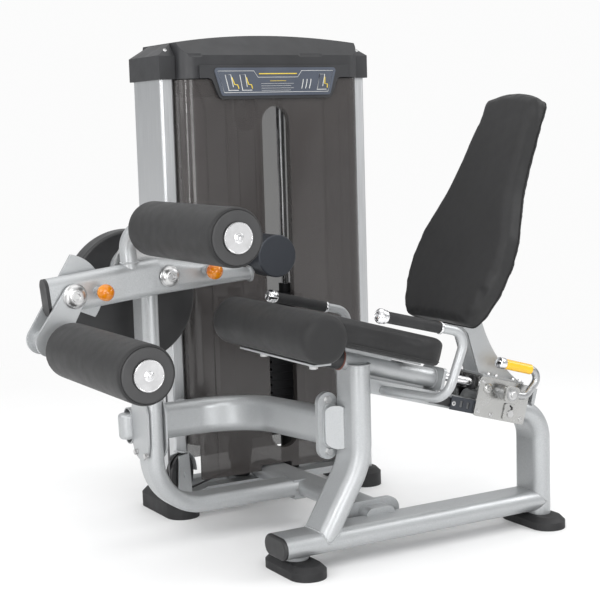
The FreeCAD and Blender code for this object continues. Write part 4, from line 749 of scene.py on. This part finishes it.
def carriage_fittings():
    """The release lever's lug and bolt, the latch's cover plate, bosses, bolts and rod seals."""
    corners = [(460, -20), (508, -20), (508, 24), (460, 24)]
    lug = rounded_outline(lambda u, v: on_rail(u, -97, v), corners, 10)
    merged("release_lug", [slab(lug, -Y * 9.5 * MM)], "bright_zinc", "release")
    bolt = hexagon(on_rail(484, -108, 2), -Y, 10, 8)
    merged("release_bolt", bolt, "bare_steel", "release")
    knob = [(-1, 11.2), (-1, 15.2), (1, 16.2), (16, 16.2), (19, 15.6), (22, 12.4), (23.4, 7), (23.6, 0.4)]
    turned("release_end", knob, on_rail(440, -96, 82), -RAIL_DIR, "chrome", "release", 40)
    dome("carriage_boss", on_rail(424, CARRIAGE_SIDE, 4), -Y, 15, 8, "bright_zinc", "carriage")
    corners = [(493, -74), (539, -74), (539, -26), (493, -26)]
    cover = rounded_outline(lambda u, v: on_rail(u, CARRIAGE_SIDE - 0.1, v), corners, 8)
    merged("latch_cover", [slab(cover, -Y * 4.5 * MM)], "bright_zinc", "carriage")
    curve = [on_rail(LATCH_AT + 5 * math.sin(t * 1.2), CARRIAGE_SIDE - 4.8, -41 + t * 2.6)
             for t in range(5)]
    merged("latch_cam_slot", [ball_path(curve, 2.6, False, 8)], "black_plastic", "carriage")
    shapes = []
    for along, up in ((404, 22), (404, -64), (560, -64), (452, -66)):
        shapes.append(screw(on_rail(along, CARRIAGE_SIDE, up), -Y, 4.5, 3.2))
    for along in (430, 458, 520, 545):
        for y in (-50, 50):
            shapes += hexagon(on_rail(along, y, 42), RAIL_UP, 5.5, 6)
    merged("carriage_screws", shapes, "bare_steel", "carriage")
    ring = [(0, 12.4), (0, 19), (1.5, 21), (6.5, 21), (7.8, 20), (7.8, 12.4)]
    seals = [lathe(ring, on_rail(388, y, 12), RAIL_DIR, 40) for y in (-30, 30)]
    merged("rod_seals", seals, "black_plastic", "carriage")
    sunk = [(-1.2, 6.5), (0.0, 6.5), (0.3, 5.9), (0.3, 2.9), (-0.8, 2.6)]
    merged("index_screw", [lathe(sunk, on_rail(322, -63.5, -56), -Y, 32)], "bare_steel", "frame")


def frame_fittings():
    """The rim on the rail's sleeve."""
    ring = [(-2, 28.6), (-2, 30.0), (-1, 30.6), (2, 30.6), (3, 29.4), (3, 27.2)]
    turned("sleeve_rim", ring, on_rail(-38, 0, 0), RAIL_DIR, "black_plastic", "frame", 48, RUST_RIM)


# ---- stage ----
STUDIO_WHITE = 0.97       # strength of the white that the camera sees around the machine
FADE_START = 1.2          # metres from the origin where the floor starts to brighten
FADE_END = 3.6


def floor_material():
    """Pale floor that brightens into the studio's white a few metres from the machine."""
    s = Shader("floor", (0.90, 0.90, 0.90), 0.75)
    s.colors(s.spread(s.noise(3, 4), 0, 1, 0.3, 0.7), (0.89, 0.89, 0.89), (0.92, 0.92, 0.92))
    s.bump([(s.noise(80, 3), 0.03, 0.0005)])
    away = s.node("ShaderNodeVectorMath", operation="LENGTH")
    s.link(s.coord, away.inputs[0])
    fade = s.node("ShaderNodeMapRange", interpolation_type="SMOOTHERSTEP")
    fade.inputs["From Min"].default_value = FADE_START
    fade.inputs["From Max"].default_value = FADE_END
    s.link(away.outputs["Value"], fade.inputs["Value"])
    white = s.node("ShaderNodeEmission")
    white.inputs["Strength"].default_value = STUDIO_WHITE
    mix = s.node("ShaderNodeMixShader")
    s.link(fade.outputs["Result"], mix.inputs[0])
    s.link(s.bsdf.outputs["BSDF"], mix.inputs[1])
    s.link(white.outputs["Emission"], mix.inputs[2])
    s.link(mix.outputs["Shader"], s.tree.nodes["Material Output"].inputs["Surface"])
    return s.material


def stage():
    floor = bpy.data.meshes.new("floor")
    reach = 30.0
    corners = [(-reach, -reach, 0), (reach, -reach, 0), (reach, reach, 0), (-reach, reach, 0)]
    floor.from_pydata(corners, [], [(0, 1, 2, 3)])
    ground = bpy.data.objects.new("floor", floor)
    bpy.context.scene.collection.objects.link(ground)
    floor.materials.append(floor_material())
    studio_world()
    studio_lights()


def studio_lights():
    """Soft lamps aimed at the machine's middle; each row has a place and a size in metres, and watts."""
    lamps = (("key", (-2.2, -3.2, 3.0), 2.2, 2.2, 56),
             ("side", (-3.4, 0.2, 2.2), 2.0, 2.0, 30),
             ("rim", (2.8, -1.4, 2.6), 1.6, 1.6, 30),
             ("top", (0.0, 0.0, 4.0), 3.0, 3.0, 20),
             ("strip", (-2.9, -2.2, 1.0), 0.30, 1.9, 26),
             ("front", (-0.4, -4.2, 1.1), 1.8, 1.4, 38))
    target = Vector((0, 0, 0.7))
    for name, place, width, height, power in lamps:
        data = bpy.data.lights.new(name, "AREA")
        data.shape = "RECTANGLE"
        data.size = width
        data.size_y = height
        data.energy = power
        lamp = bpy.data.objects.new(name, data)
        lamp.location = place
        lamp.rotation_euler = (target - Vector(place)).to_track_quat("-Z", "Y").to_euler()
        bpy.context.scene.collection.objects.link(lamp)
    bpy.context.scene.view_settings.view_transform = "Standard"


def studio_world():
    """White to the camera; to everything else a room, bright above and dimmer at the horizon."""
    world = bpy.data.worlds.new("studio")
    world.use_nodes = True
    tree = world.node_tree
    room = tree.nodes["Background"]
    coord = tree.nodes.new("ShaderNodeTexCoord")
    split = tree.nodes.new("ShaderNodeSeparateXYZ")
    tree.links.new(coord.outputs["Generated"], split.inputs["Vector"])
    height = tree.nodes.new("ShaderNodeMapRange")
    height.inputs["From Min"].default_value = -0.35
    height.inputs["From Max"].default_value = 0.75
    height.inputs["To Min"].default_value = 0.0
    height.inputs["To Max"].default_value = 1.0
    tree.links.new(split.outputs["Z"], height.inputs["Value"])
    ramp = tree.nodes.new("ShaderNodeValToRGB")
    ramp.color_ramp.elements[0].position = 0.0
    ramp.color_ramp.elements[0].color = (0.55, 0.56, 0.57, 1)
    ramp.color_ramp.elements[1].position = 1.0
    ramp.color_ramp.elements[1].color = (1.0, 1.0, 1.0, 1)
    low = ramp.color_ramp.elements.new(0.34)
    low.color = (0.42, 0.43, 0.44, 1)
    tree.links.new(height.outputs["Result"], ramp.inputs["Fac"])
    tree.links.new(ramp.outputs["Color"], room.inputs["Color"])
    room.inputs["Strength"].default_value = 1.05
    white = tree.nodes.new("ShaderNodeBackground")
    white.inputs["Color"].default_value = (1.0, 1.0, 1.0, 1)
    white.inputs["Strength"].default_value = STUDIO_WHITE
    path = tree.nodes.new("ShaderNodeLightPath")
    mix = tree.nodes.new("ShaderNodeMixShader")
    tree.links.new(path.outputs["Is Camera Ray"], mix.inputs["Fac"])
    tree.links.new(room.outputs["Background"], mix.inputs[1])
    tree.links.new(white.outputs["Background"], mix.inputs[2])
    tree.links.new(mix.outputs["Shader"], tree.nodes["World Output"].inputs["Surface"])
    bpy.context.scene.world = world


add_camera()
paint_nodes()
upholster()
welds()
lever_fittings()
handle_fittings()
placard_print()
carriage_fittings()
frame_fittings()
stage()
